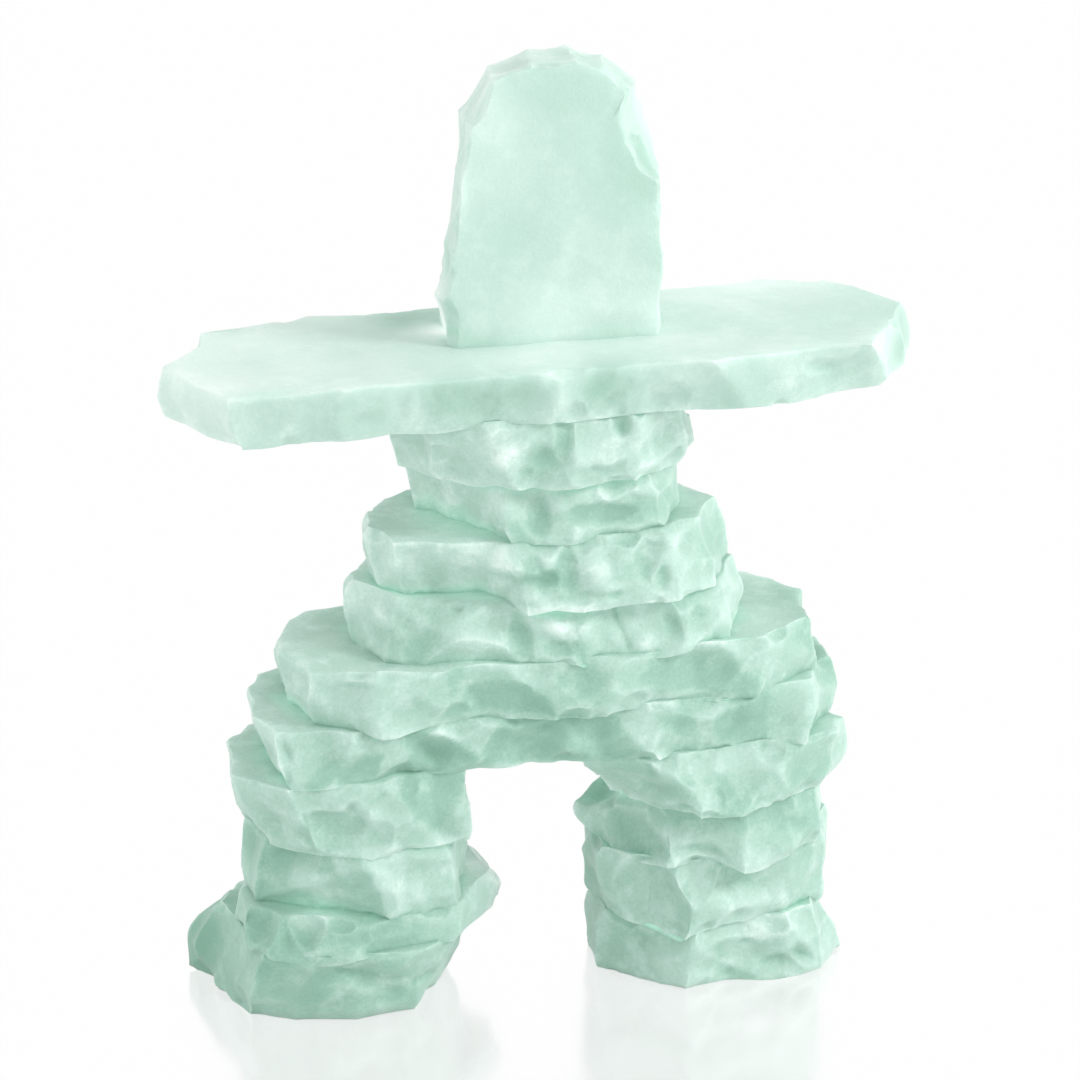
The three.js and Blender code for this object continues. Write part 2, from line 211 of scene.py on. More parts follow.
# %% Facets of the left leg
facets = {
    "left_foot": (dict(
        A=(-109, 31, 0), B=(-100, 32, 0.8), C=(-80, 28, 1.3), D=(-70, 27, 1.0), E=(-62, 25, 0.8),
        F=(-51, 21, 0.4), b=(-104, 26, -1.4), c=(-81, 23, -2.0), d=(-67, 19, -0.3), e=(-59, 16, -1.8),
        f=(-52, 14, -0.6), g=(-96, 19, 0.6), h=(-101, 5, 0.3), i=(-112, 9, -1.4), j=(-124, 27, 0),
        k=(-131, 12, 0.9), l=(-129, 4, -1.3), m=(-112, 0, 0), n=(-101, 0, 0.2), o=(-85, 6, 0.7),
        p=(-66, 6, 0.6), q=(-85, 0, 0), r=(-65, 0, 0), s=(-100, 35, 0.5), t=(-80, 35, 0.8),
        u=(-62, 35, 0.5), v=(-51, 35, 0.3), w=(-109, 35, 0), x=(-130, 0, -0.6),
    ), "ABCcb CDdc DEed EFfe bcg cohg cdpo dep bghi jAb jbik kil ihnm hoqn oprq iml lmx klx "
       "AwsB BstC CtuED EuvF"),
    "left_third": (dict(
        a=(-128, 46, 0), b=(-127, 36, 0), c=(-118, 46, 1.0), d=(-120, 37, 1.3), e=(-112, 47, 0),
        f=(-113, 40, -1.7), g=(-108, 40, 1.4), h=(-107, 47, 0.8), i=(-98, 47, 0.6), j=(-98, 40, -0.9),
        k=(-84, 47, 0.7), l=(-84, 39, -1.6), m=(-77, 38, 0.8), n=(-68, 46, 0.8), o=(-71, 37, 0.9),
        p=(-54, 45, 0.2), q=(-54, 35, 0.3), r=(-114, 33, 0), s=(-103, 33, 0.4), t=(-96, 34, 0.6),
        u=(-84, 33, 0), v=(-71, 33, 0.2),
    ), "acdb cefd ehgf hijg iklj knml nom npqo dfr fgsr gjts jlut lmvu mov"),
    "left_second": (dict(
        a=(-123, 73, 0), b=(-106, 77, 0), c=(-97, 78, 0), d=(-86, 78, 0), e=(-81, 69, 1.7),
        f=(-92, 66, 1.4), g=(-101, 61, 1.5), h=(-113, 53, 0.9), i=(-123, 47, 0.3), j=(-73, 46, 1.3),
        k=(-94, 45, -1.8), l=(-110, 68, -2.2), m=(-111, 45, -1.0), n=(-68, 78, 0), o=(-45, 78, 0),
        p=(-46, 46, 0), q=(-64, 48, -0.2), r=(-67, 63, -0.6), t=(-124, 58, 0),
    ), "lab lbc lcf cdef lfg lgh lhi lit lta ihm hgkm gfk fek ejk dnre erqj nor opqr"),
    "left_first": (dict(
        a=(-109, 98, 0), b=(-91, 97, 0.2), c=(-86, 100, 0.2), d=(-81, 95, 0.2), e=(-81, 85, 0.5),
        f=(-87, 78, 0.3), g=(-99, 75, 0), h=(-110, 83, 0), A=(-107, 95, -1.9), B=(-91, 94, -2.2),
        C=(-86, 96, -2.6), D=(-84, 92, -2.3), E=(-84.5, 86, -1.6), F=(-89, 79, -0.6),
        G=(-99, 77, -0.3), H=(-107, 84, -1.6), i=(-124, 101, 0), j=(-117, 88, -1.8), k=(-122, 74, 0),
        l=(-112, 76, 0), m=(-75, 100, 0.3), n=(-69, 101, 1.3), o=(-63, 88, 1.5), p=(-67, 80, 0.5),
        q=(-54, 98, -1.0), r=(-52, 81, -1.7), s=(-43, 98, 0), t=(-43, 80, 0), u=(-69, 108, 0.3),
        v=(-54, 108, -0.4), w=(-43, 108, 0), x=(-67, 75, 0.2), y=(-52, 75, -0.5),
        z=(-43, 75, 0),
    ), "abBA bcCB cdDC deED efFE fgGF ghHG haAH ABCDEFGH jia jah jhl jlk jki "
       "dmnope mun uvqn nqro vwsq qstr oryxp rtzy"),
}

# %% Facets of the right leg
facets |= {
    "right_foot": (dict(
        a=(22, 14, 0), A=(26, 27, 0), b=(40, 26, 0.2), B=(41, 12, 0.9), c=(41, 0, 0.4), d=(28, 0, 0),
        D=(32, 14, -1.4), e=(54, 29, 0), f=(72, 29, 0), g=(90, 29, 0), E=(54, 22, 1.1),
        F=(72, 22, 1.2), G=(92, 22, 1.5), h=(63, 12, -1.8), i=(80, 10, -2.3), j=(98, 9, -1.4),
        k=(52, 10, 0.4), l=(56, 3, 1.1), m=(76, 3, 0.7), M=(66, 2, -1.0), n=(90, 0, -0.5),
        N=(98, 15, 1.3), o=(103, 6, 0.7), O=(103, 0, 0), p=(104, 25, 0), q=(115, 5, 0),
    ), "AbD bBD BcD cdD daD aAD beEB efFE fgGF BEk EFhk FGih Gji Bklc khMl himM ijnm "
       "GNj Noj oOnj gpNG pqoN"),
    "right_third": (dict(
        a=(33, 44, -1.6), b=(45, 57, 0.3), B=(48, 46, 1.5), C=(50, 38, 1.7), D=(50, 29, 0.7),
        E=(54.5, 46, 1.7), e=(59, 57, 0.8), V=(52, 54, -1.0), W=(51.5, 45, -0.2), g=(53, 58, 0),
        O=(30, 58, 0), q=(39, 28, 0.4), p=(26, 31, 0), o=(21, 44, -0.3), h=(64, 57, -0.6),
        i=(66, 45, -1.9), J=(70, 35, 0.4), s=(69, 28, 0), H=(78, 58, 0), m=(78, 43, -1.3),
        j=(80, 34, 1.0), l=(91, 47, 0), k=(90, 34, 1.0), S=(84, 28, 0), K=(92, 28, 0),
    ), "Oba bBa BCa CDqa qpa poa oOa bVB BVW VEW VeE bgV geV BWC WEC ehiE EiJC CJsD "
       "hHmi imjJ Hlm mlkj JjSs jkKS"),
    "right_second": (dict(
        A=(20, 84, 0), B=(32, 84, 0), C=(48, 84, 0), D=(64, 84, 0), E=(77, 84, 0), F=(88, 84, 0),
        H=(102, 84, 0), a=(31, 78, 0.8), b=(35, 71, 1.3), c=(39, 67, 1.5), d=(42, 57, 1.7),
        f=(22, 72, -0.6), e=(22, 62, -0.5), g=(31, 56, 0), h=(50, 76, -1.9), i=(64, 77, -1.7),
        j=(76, 78, 0), w=(54, 68, 0.3), x=(69, 69, 0), m=(50, 63, -1.7), n=(58, 62, -1.5),
        k=(69, 57, 0.8), l=(54, 57, 0.2), o=(79, 67, 0), P=(88, 64, 1.9), q=(96, 62, 0.5),
        s=(80, 56, 0.6), r=(95, 56, 0), G=(88, 71, -1.4), t=(87, 80, 0.5), u=(101, 78, 0.4),
        v=(103, 66, 0),
    ), "ABa Aabf fbce ecdg aBChb CDih DEji bhwc hixw ijox cwmd wnm wxkn mnl dml nkl xosk "
       "oPs oGP GqP Pqrs jtGo tuvG Gvq EFtj FHut"),
}

# %% Facets of the hips and of the stone under them on the right
facets |= {
    "right_first": (dict(
        a=(12, 100, 0), b=(31, 106, 0.8), c=(35, 99, 1.3), d=(46, 101, 1.4), e=(48, 95, 1.7),
        f=(50, 83, 1.9), g=(20, 85, -0.2), h=(32, 93, -1.8), i=(59, 90, -1.5), j=(68, 86, 1.0),
        k=(66, 91, 1.0), l=(74, 93, 1.3), m=(86, 94, 1.0), n=(75, 84, -0.8), o=(57, 99, 0.9),
        p=(84, 84, 0.2), q=(58, 82, 1.0), r=(31, 109, 0.4), s=(57, 109, 0), t=(86, 109, 0),
        u=(100, 96, 0), v=(100, 85, 0), w=(66, 99, 0.4),
    ), "abh bch cdeh hefg ahg brsdc dsoe eoif oki ikj ijqf owlk stmw swo wml klnj lmpn tum "
       "muvp jnq"),
    "lower_hip": (dict(
        a=(-119, 125, 0), b=(-110, 130, 0.8), c=(-110, 119, 1.1), d=(-111, 106, 0.6),
        e=(-114, 124, -0.4), Q=(-103, 125, -0.2), f=(-101, 115, -0.2), g=(-90, 120, 0.7),
        h=(-80, 123, 0.9), i=(-76, 118, 1.1), j=(-77, 108, 0.9), k=(-92, 107, -0.6),
        l=(-106, 107, 0), R=(-86, 113, -1.7), X=(-90, 130, 0), m=(-74, 125, 0.8), n=(-69, 128, 0.8),
        o=(-65, 116, 1.3), p=(-75, 113, 0.9), q=(-59, 127, 0.8), r=(-48, 121, 1.3),
        s=(-37, 111, 1.8), t=(-52, 106, -0.6), O=(-56, 115, -2.0), u=(-29, 127, 0.6),
        v=(-21, 129, 0.4), P=(-21, 118, -2.0), w=(-7, 129, 0.4), z=(-11, 122, -2.4),
        x=(-3, 122, 1.3), y=(-3, 106, 1.5), S=(-20, 106, -1.3), A=(13, 128, 0.6), B=(25, 117, 1.5),
        C=(29, 109, 1.7), D=(33, 105, 1.2), E=(10, 114, -1.9), T=(14, 105, -1.2), F=(31, 128, 0.4),
        J=(33, 118, 0.7), G=(43, 129, 0.4), H=(51, 119, 0.9), I=(43, 113, 0.7), Z=(42, 119, -1.6),
        K=(56, 122, 1.3), L=(66, 128, 1.0), M=(66, 116, -1.7), N=(79, 117, -1.2), U=(80, 129, 0),
        V=(58, 106, 0.2), W=(80, 106, 0), Y=(95, 116, 0.6),
    ), "abe bce bQc cQf cfld bXQ XgQ Qgf Xhg Xmh fgR ghR hiR ijR jkR klR lfR hmi mnoi iop ipj "
       "nqOo qrO rsO stO oOtj ojp qur rus uvP uPs sPS vwzP wxz zxyS PzS wAx xAE ABE BCE CTE "
       "xETy AFB FJB JCB FGZJ GHZ HIZ IJZ JIC IDC HKVI IVD GKH GLK KLM KMV LUNM MNWV UYN YWN"),
    "upper_hip": (dict(
        a=(-104, 145, 0), b=(-90, 150, 0.4), c=(-89, 144, -0.5), e=(-76, 151, 0.3),
        f=(-51, 151, 0.8), g=(-49, 140, 1.1), h=(-69, 131, 0.9), i=(-76, 128, 0.9),
        j=(-103, 128, 0), k=(-98, 139, 0.9), l=(-30, 153, 0.4), m=(-19, 144, 1.3), n=(-6, 130, 1.7),
        o=(-37, 133, -2.3), p=(-52, 131, -0.3), q=(-40, 142, -2.1), r=(6, 153, 0), s=(33, 152, 0.8),
        t=(26, 142, 1.3), u=(18, 134, 1.3), v=(12, 129, 0.9), E=(-1, 142, -0.5), w=(40, 153, 0.4),
        x=(61, 151, 0.8), y=(69, 141, 1.1), z=(77, 134, 1.1), A=(74, 128, 0.4), B=(51, 133, -1.7),
        C=(51, 143, -2.3), D=(34, 134, -0.9), F=(34, 127, -1.6), G=(51, 127, -2.2),
        H=(66, 127, -1.0), I=(-69, 126, 0.9), J=(-52, 126, -0.3), K=(-37, 126, -2.2),
        L=(-6, 126, 1.7), M=(12, 126, 0.9),
    ), "abck akj kij kchi bec efgc cgh gph flqg lmq qmno gqop lrEm mEn Evn rstE Etuv swCt wxC "
       "xyC CyzB zAB tCBD tDu uDFv DBGF BAHG ihI hpJI poKJ onLK nvML"),
}
print("facets:", sum(len(faces.split()) for joints, faces in facets.values()))

# %% Marks of the chest, neck and arms, and one crack as x and z of its two ends
marks |= {
    "lower_chest": [
        (-41, 164, 14, 8, 1.1), (-7, 165, 7, 5, 1.9), (8, 159, 7, 8, 1.9), (30, 157, 8, 5, 1.4),
        (61, 160, 9, 8, 1.3), (-21, 161, 6, 10, -2.4), (-5, 157, 8, 4, -2.2), (41, 160, 6, 5, -1.9),
        (52, 161, 6, 6, -1.7), (20, 166, 7, 6, -1.0), (-60, 160, 8, 9, -1.2),
    ],
    "upper_chest": [
        (-27, 191, 10, 6, 2.1), (-10, 192, 5, 6, 1.9), (8, 188, 7, 6, 2.0), (19, 191, 6, 4, 1.0),
        (-17, 179, 7, 5, 1.6), (45, 187, 12, 9, 1.2), (16, 181, 11, 3, 1.3), (-2, 186, 5, 10, -2.6),
        (30, 189, 5, 7, -2.4), (35, 182, 4, 6, -1.9), (-10, 185, 8, 4, -2.0), (-36, 184, 10, 6, -1.5),
        (5, 177, 14, 3, -1.5), (-52, 185, 8, 9, -1.2),
    ],
    "lower_neck": [
        (-24, 212, 8, 9, 1.5), (-5, 214, 5, 8, 1.9), (16, 216, 9, 5, 2.2), (33, 216, 12, 4, 1.7),
        (0, 203, 6, 4, 1.5), (-12, 208, 5, 11, -2.2), (10, 208, 18, 5, -3.0), (36, 206, 8, 6, -1.8),
        (-36, 210, 8, 8, -1.0), (24, 201, 10, 3, 1.2),
    ],
    "upper_neck": [
        (-25, 238, 8, 10, 1.7), (2, 235, 7, 10, 1.5), (13, 237, 6, 11, 2.2), (26, 240, 7, 9, 1.5),
        (31, 226, 9, 5, 1.5), (-12, 232, 8, 8, -2.0), (-4, 240, 5, 9, -2.4), (19, 245, 5, 6, -2.6),
        (9, 226, 12, 4, -2.0), (-17, 228, 6, 5, -1.5), (37, 235, 7, 8, -1.2),
    ],
    "arms": [
        (-38, 261, 10, 9, -0.9), (-19, 262, 12, 11, -1.3), (9, 263, 9, 9, -1.1), (-55, 266, 4, 5, -0.8),
        (-94, 265, 11, 6, -0.8), (-8, 261, 7, 9, 0.7), (-63, 261, 4, 6, 0.9), (-110, 260, 8, 7, 0.6),
        (82, 260, 11, 7, 0.8), (100, 258, 9, 6, -0.9), (114, 262, 9, 7, -1.1), (-82, 257, 8, 5, -0.7),
    ],
}
CRACK = ((16.6, 170.6), (22.3, 156))
print("marks in all:", sum(len(rows) for rows in marks.values()))

# %% [markdown]
# ## The outline of a stone
#
# The real stones are flat slabs with upright broken sides. A box with a Bevel modifier would have
# the same edge all round, so a stone is worked out as a surface of two parameters: how far round
# the outline, and how high between its faces. Between two posts the side is a straight line,
# bowed inward by the hollow of its face. Between foot and top each post is a straight line too,
# with a slight belly, and the edges are drawn in over a short bevel, which is what shows as the
# seam between two stones.

# %% The values that shape every stone
SINK = 0.5  # a stone reaches this far into the one above it
BELLY = 1.2  # its sides stand out by this at half height
SEAM = 1.5  # its edges are drawn in by this
BEVEL = 0.14  # over this share of its height
CHIP, CHIP_TURN = 0.8, 2.3  # how uneven that is, and how fast it changes from post to post
RIM_HOLLOW = 0.6  # the share of a face's hollow that its rims have
BACK_POSTS, BACK_BULGE = 4, 0.06  # the hidden posts, and how far their bow bulges sideways
BACK_TAPER, BACK_LEAN = 0.98, 3  # their feet have this share of the x, and stand this much nearer
BACK_WANDER, BACK_HOLLOW = 2.5, 1.5  # how far they stray, and the hollow of their faces


# %% All corner posts of a stone
def all_posts(stone):
    """Rows (top x, top y, foot x, foot y, hollow, spur) of every post of a stone.

    The front rows are the table's. The hidden ones stand on a bow from the right end to the left:
    x = centre + half width * cos(turn) * (1 + bulge * sin(turn)), and y goes from the ends to
    `back` with the square root of sin(turn), plus a wander of sin(3 * number + base).
    """
    front = np.array([tuple(row) + (0,) * (6 - len(row)) for row in stone["posts"]], float)
    if "back" not in stone:
        return front
    count = stone.get("back_posts", BACK_POSTS)
    i = np.arange(count)
    share = (i + 1) / (count + 1)
    turn = np.pi * share
    right, left = front[-1], front[0]
    centre, half = (right[0] + left[0]) / 2, (right[0] - left[0]) / 2
    end_y = right[1] + (left[1] - right[1]) * share
    top_x = centre + half * np.cos(turn) * (1 + BACK_BULGE * np.sin(turn))
    top_y = end_y + (stone["back"] - end_y) * np.sqrt(np.sin(turn))
    top_y += BACK_WANDER * np.sin(3 * i + stone["base"])
    hidden = np.stack([top_x, top_y, top_x * BACK_TAPER, top_y - BACK_LEAN,
                       np.full(count, BACK_HOLLOW), np.zeros(count)], axis=1)
    return np.concatenate([front, hidden])


# %% The outline at every height
def outline(stone, levels, spacing, seam_share=1.0):
    """Points (levels, round, 2) of a stone's side, `spacing` units apart round the outline.

    corner = foot + (top - foot) * level, moved outward from the mean of all corners by
    swell * belly + swell^2 * spur - edge, where swell = 4 level (1 - level) and edge falls from
    the seam's depth to nothing over the bevel. Along a side the point is the corner plus its
    share of the way to the next, moved inward by hollow * 4 along (1 - along).
    """
    posts = all_posts(stone)
    level = np.asarray(levels, float)[:, None]
    swell = 4 * level * (1 - level)
    near = np.minimum(level, 1 - level) / BEVEL
    edge = seam_share * stone.get("seam", SEAM) * np.clip(1 - near, 0, 1)
    corners = posts[None, :, 2:4] + (posts[None, :, :2] - posts[None, :, 2:4]) * level[..., None]
    outward = corners - corners.mean(axis=1, keepdims=True)
    outward /= np.linalg.norm(outward, axis=2, keepdims=True)
    i = np.arange(len(posts))
    uneven = 1 + CHIP * np.sin(CHIP_TURN * i + 4 * level.round() + stone["base"])
    stand = swell * stone.get("belly", BELLY) + swell**2 * posts[:, 5] - edge * uneven
    corners = corners + outward * stand[..., None]

    following = np.roll(corners, -1, axis=1)
    length = np.linalg.norm(following - corners, axis=2).max(axis=0)
    steps = np.maximum(1, np.round(length / spacing)).astype(int)
    side = np.repeat(i, steps)
    along = (np.arange(steps.sum()) - np.repeat(np.cumsum(steps) - steps, steps)) / steps[side]
    run = (following - corners)[:, side]
    inward = np.stack([-run[..., 1], run[..., 0]], axis=2)
    inward /= np.linalg.norm(inward, axis=2, keepdims=True)
    bow = posts[side, 4] * 4 * along * (1 - along) * (RIM_HOLLOW + (1 - RIM_HOLLOW) * swell)
    return corners[:, side] + run * along[None, :, None] + inward * bow[..., None]


# %% The middle of the solid, in units
CAD_LEVELS = (0, 0.14, 0.5, 0.84, 1)
CAD_FACET = 11
plan = np.concatenate([outline(stone, CAD_LEVELS, CAD_FACET).reshape(-1, 2)
                       for stone in stones.values() if "on_edge" not in stone])
middle = (plan.max(axis=0) + plan.min(axis=0)) / 2
print("middle of the stones", middle.round(2), "width", np.ptp(plan, axis=0).round(2))

# %% [markdown]
# ## Relief
#
# Sculpting brushes or a displacement texture could roughen a stone, but the one isn't repeatable
# and the other can't leave a sharp rim. So the real wear is copied. Lumps, ridges and grit are
# smooth random fields that move the side in and out. The facets and marks of the tables move the
# front. Flakes are struck off the sides and the back: inside a large ball that just touches the
# surface, every point is moved out of the ball, which leaves a shallow shell-shaped scar with a
# sharp rim. Chips are the same with small balls set along the upper and lower edges. A sway of
# the points before the ball is tested makes the rims ragged. All of it works on whole arrays and
# is seeded, so each run gives the same figure.


# %% A smooth random field
def wave_field(points, size, seed, count=28):
    """A field of about -1 to 1: the sum of sines of the point along random directions, their
    wavelengths 0.7 to 1.5 times `size`, divided by the square root of half their number."""
    draw = np.random.default_rng(seed)
    direction = draw.normal(size=(count, 3))
    direction /= np.linalg.norm(direction, axis=1, keepdims=True)
    turns = 2 * np.pi / (size * draw.uniform(0.7, 1.5, count))
    phase = draw.uniform(0, 2 * np.pi, count)
    return np.sin(points @ (direction * turns[:, None]).T + phase).sum(axis=-1) / np.sqrt(count / 2)


# %% Seeds
def seed_of(name):
    """Every stone has a hundred seeds of its own."""
    return 100 * list(stones).index(name)


def facet_seed(name):
    """The seed of the sway of its facets."""
    return seed_of(name) + 7


# %% Three fields as one shift
def sway_of(points, size, most, seed):
    """A smooth random shift of every point, up to about `most` along each axis."""
    return most * np.stack([wave_field(points, size, seed + k) for k in range(3)], axis=-1)


# %% Striking a scar
def strike(points, centre, half, sway):
    """Every point inside the egg moves straight away from its middle to its surface:
    p = centre + half * q / |q| - sway, where q = (p + sway - centre) / half and |q| < 1."""
    q = (points + sway - centre) / half
    distance = np.linalg.norm(q, axis=-1, keepdims=True)
    return np.where(distance < 1, centre + half * q / np.maximum(distance, 1e-6) - sway, points)


# %% Random scars at points of the surface
def strike_many(points, at, outward, radius, depth, sway, most=np.inf):
    """One ball per row: it touches the row's point from outside and reaches `depth` into it.
    A ball that would reach more than `most` depths into some other part is left out."""
    for spot, way, size, deep in zip(at, outward, radius, depth):
        centre = spot + way * (size - deep)
        nearest = np.linalg.norm(points - centre, axis=-1).min()
        if size - nearest <= most * deep:
            points = strike(points, centre, np.full(3, size), sway)
    return points


# %% The facets of a stone's front
RAGGED, RAGGED_SIZE = 0.5, 9  # the arrises sway by this much, in waves of this length
FACET_PUSH = 1.7  # the nets' depths are taken times this


def facet_depth(points, joints, faces, seed):
    """How far out the facets stand at every point, and whether it is on one. Every face is cut
    into triangles, and inside a triangle the depth is a + (b - a) * u + (c - a) * v, where u and
    v are the point's shares of the way to the corners b and c. A slight sway of x and z makes
    the arrises uneven."""
    at = points + sway_of(points, RAGGED_SIZE, RAGGED, seed)
    depth, inside = np.zeros((2, *points.shape[:-1]))
    for face in faces.split():
        corners = np.array([joints[letter] for letter in face], float)
        a = corners[0]
        for b, c in zip(corners[1:-1], corners[2:]):
            (bx, bz, deep_b), (cx, cz, deep_c) = b - a, c - a
            x, z = at[..., 0] - a[0], at[..., 2] - a[1]
            area = bx * cz - cx * bz
            u, v = (x * cz - cx * z) / area, (bx * z - x * bz) / area
            within = (u >= 0) & (v >= 0) & (u + v <= 1)
            depth = np.where(within, a[2] + deep_b * u + deep_c * v, depth)
            inside = np.where(within, 1, inside)
    return FACET_PUSH * depth, inside


# %% The marks of a stone's front
MARK_UNEVEN, MARK_RAGGED = 0.3, 11  # how uneven their outlines are, and in waves of what length
MARK_LEAST, MARK_MOST = 0.4, 1.8  # the bounds of that
MARK_FRONT = 3.0  # how fast marks fade where a side turns away from the front
FACET_ROUNDS = 2  # how often the facets are evened


def mark_depth(side, normal, name, seed):
    """How far the marks move each point along its normal: push * (1 - q)^2 for a swell and
    push * (1 - q) for a scar, where q is the squared distance from the middle in half widths and
    half heights, made uneven by a random field. Swells add up, and the deepest scar counts. The
    facets' depth is added, evened along both ways of the grid by (before + 2 own + after) / 4,
    so that no step of the grid shows along an arris."""
    wave = wave_field(side, MARK_RAGGED, seed)
    uneven = np.clip(1 + MARK_UNEVEN * wave, MARK_LEAST, MARK_MOST)
    front = np.clip(-MARK_FRONT * normal[..., 1], 0, 1)
    swell, scar = np.zeros((2, *side.shape[:2]))
    for x, z, wide, tall, push in marks.get(name, ()):
        q = ((side[..., 0] - x) / wide) ** 2 + ((side[..., 2] - z) / tall) ** 2
        inside = np.clip(1 - q * uneven, 0, 1)
        if push > 0:
            swell += push * inside**2
        else:
            scar = np.minimum(scar, push * inside)
    if name in facets:
        cut = facet_depth(side, *facets[name], facet_seed(name))[0]
        for _ in range(FACET_ROUNDS):
            cut[1:-1] = (cut[:-2] + 2 * cut[1:-1] + cut[2:]) / 4
            cut[:, 1:-1] = (cut[:, :-2] + 2 * cut[:, 1:-1] + cut[:, 2:]) / 4
        swell += cut
    return (swell + scar) * front


# %% [markdown]
# ## One stone as a mesh
#
# A stone could be a box cut up by Subdivision Surface, but then its points would lie as close on
# the hidden faces as along the edges. So the grid is worked out: it runs from the middle of the
# underside out to the foot edge, up the side and back in over the top to the middle. The rows are
# closest at the two edges, where the chips are.

# %% The bare side of a stone
SPACING = 1.0  # units between two points of the side
SEAM_SHARE = 0.45  # the seams are cut this share as deep as in the solid
SOFT, SOFT_SHARE, SOFT_FRONT = 5, 0.85, 2.5  # how the front's upright arrises are softened


def bare_side(stone):
    """The levels of a stone and the points (levels, round, 3) of its side.

    The levels are half even and half (1 - cos(pi t)) / 2. The front goes over to its own running
    mean at mid height: side + (mean - side) * front * share * 4 level (1 - level).
    """
    height = stone["top"] + SINK - stone["base"]
    t = np.linspace(0, 1, max(8, round(height / SPACING)) + 1)
    levels = 0.5 * t + 0.25 * (1 - np.cos(np.pi * t))
    side = outline(stone, levels, SPACING, SEAM_SHARE)
    steps = round(SOFT / SPACING)
    soft = np.mean([np.roll(side, k, axis=1) for k in range(-steps, steps + 1)], axis=0)
    run = np.roll(soft, -1, axis=1) - np.roll(soft, 1, axis=1)
    front = np.clip(SOFT_FRONT * run[..., 0] / np.linalg.norm(run, axis=2) - SOFT_FRONT + 1, 0, 1)
    share = 0 if "on_edge" in stone else SOFT_SHARE * 4 * levels * (1 - levels)
    side += (soft - side) * (front * np.reshape(share, (-1, 1)))[..., None]
    z = np.broadcast_to((stone["base"] + height * levels)[:, None, None], side.shape[:2] + (1,))
    return levels, np.concatenate([side, z], axis=2)


# %% Its worn skin
PROUD = 0.6  # the skin before its relief stands out from the solid by this
ROUND, ROUND_REACH = 0.45, 3  # how far worn edges are rounded, and over how many times that
RIDGE_STRETCH, GRIT_SIZE = (1, 1, 1.4), 4.5
skins = {
    "flaked": dict(lump=0.15, lump_size=20, ridge=0.8, ridge_size=36, grit=0.03, flakes=0.09,
                   flake_depth=(0.4, 1.6), chips=0.05, edge_wave=1.2),
    "knobbly": dict(lump=0.35, lump_size=15, ridge=0.7, ridge_size=30, grit=0.05, flakes=0.05,
                    flake_depth=(0.3, 1.2), chips=0.05, edge_wave=1.0),
    "slab": dict(lump=0.12, lump_size=26, ridge=0.5, ridge_size=44, grit=0.03, flakes=0.012,
                 flake_depth=(0.3, 0.9), chips=0.025, edge_wave=0.6),
    "plate": dict(lump=0.35, lump_size=20, ridge=0.6, ridge_size=26, grit=0.04, flakes=0.0,
                  flake_depth=(0.3, 0.9), chips=0.09, edge_wave=0.4),
}


def worn_side(stone, levels, side, seed):
    """The side and its normals, after every point has moved along its normal by proud + lumps +
    ridges + grit - rounding. Lumps and grit are random fields and a ridge is 0.5 - |field|. The
    rounding is worn * (1 - away / (3 worn))^2, where away is the distance from the nearer edge."""
    skin = skins[stone["skin"]]
    tangent = np.roll(side, -1, axis=1) - np.roll(side, 1, axis=1)
    normal = np.stack([tangent[..., 1], -tangent[..., 0], np.zeros(side.shape[:2])], axis=2)
    normal /= np.maximum(np.linalg.norm(normal, axis=2, keepdims=True), 1e-6)
    lumps = skin["lump"] * wave_field(side, skin["lump_size"], seed)
    field = wave_field(side * RIDGE_STRETCH, skin["ridge_size"], seed + 1)
    ridges = skin["ridge"] * (0.5 - np.abs(field))
    grit = skin["grit"] * wave_field(side, GRIT_SIZE, seed + 2)
    height = stone["top"] + SINK - stone["base"]
    away = np.minimum(levels, 1 - levels)[:, None] * height
    worn = stone.get("round", ROUND)
    rounded = worn * np.clip(1 - away / (ROUND_REACH * worn), 0, 1) ** 2
    return side + normal * (PROUD + lumps + ridges + grit - rounded)[..., None], normal


# %% Its wavy edges
EDGE_LENGTH, EDGE_STRETCH = 38, (1, 1, 0.2)  # the length of the waves, and their slow change in z
WAVE_RISE, WAVE_ON_EDGE, WAVE_LEVEL = 1.5, 0.4, 0.7
LAP, LAP_DROP = 0.9, 0.7  # how a lower edge laps over the stone under it


def edge_lift(stone, levels, side, seed):
    """How far up each point moves: lift * |2 level - 1|^1.5, so that mid height stays. The lift
    is a share of a random field. A foot edge on another stone moves down by the lap plus
    |field|, and one on the ground stays."""
    wave = wave_field(side * EDGE_STRETCH, EDGE_LENGTH, seed + 3)
    wave = skins[stone["skin"]]["edge_wave"] * wave
    drop = 0 if stone["base"] == 0 else -LAP * LAP_DROP - np.abs(wave)
    low = wave * WAVE_ON_EDGE if "on_edge" in stone else drop
    high = wave * (WAVE_ON_EDGE if "on_edge" in stone else WAVE_LEVEL)
    lift = np.where(levels[:, None] < 0.5, low, high)
    return lift * np.abs(2 * levels[:, None] - 1) ** WAVE_RISE


# %% Its level faces
CAP_ROWS, CAP_CROWD = 24, 1.8  # rings of a level face, and how they crowd at its edge
LAP_REACH = 2.5  # over this distance the face goes over to its own level
TOP_WAVE, TOP_WAVE_LENGTH = 0.4, 34


def cap(edge, level, wavy, seed):
    """Rings from the edge to the middle: ring = edge + (centre - edge) * share^1.8. Its height
    is level + (edge height - level) * e to the power of -distance / reach, plus waves."""
    rows = (np.arange(CAP_ROWS, 0, -1) / CAP_ROWS) ** CAP_CROWD
    centre = edge.mean(axis=0)
    ring = edge + (centre - edge) * rows[:, None, None]
    inside = np.linalg.norm((edge - centre)[:, :2], axis=1) * rows[:, None]
    near = np.exp(-inside / LAP_REACH)
    ring[..., 2] = level + (edge[:, 2] - level) * near
    if wavy:
        ring[..., 2] += TOP_WAVE * wave_field(ring, TOP_WAVE_LENGTH, seed) * (1 - near)
    return ring


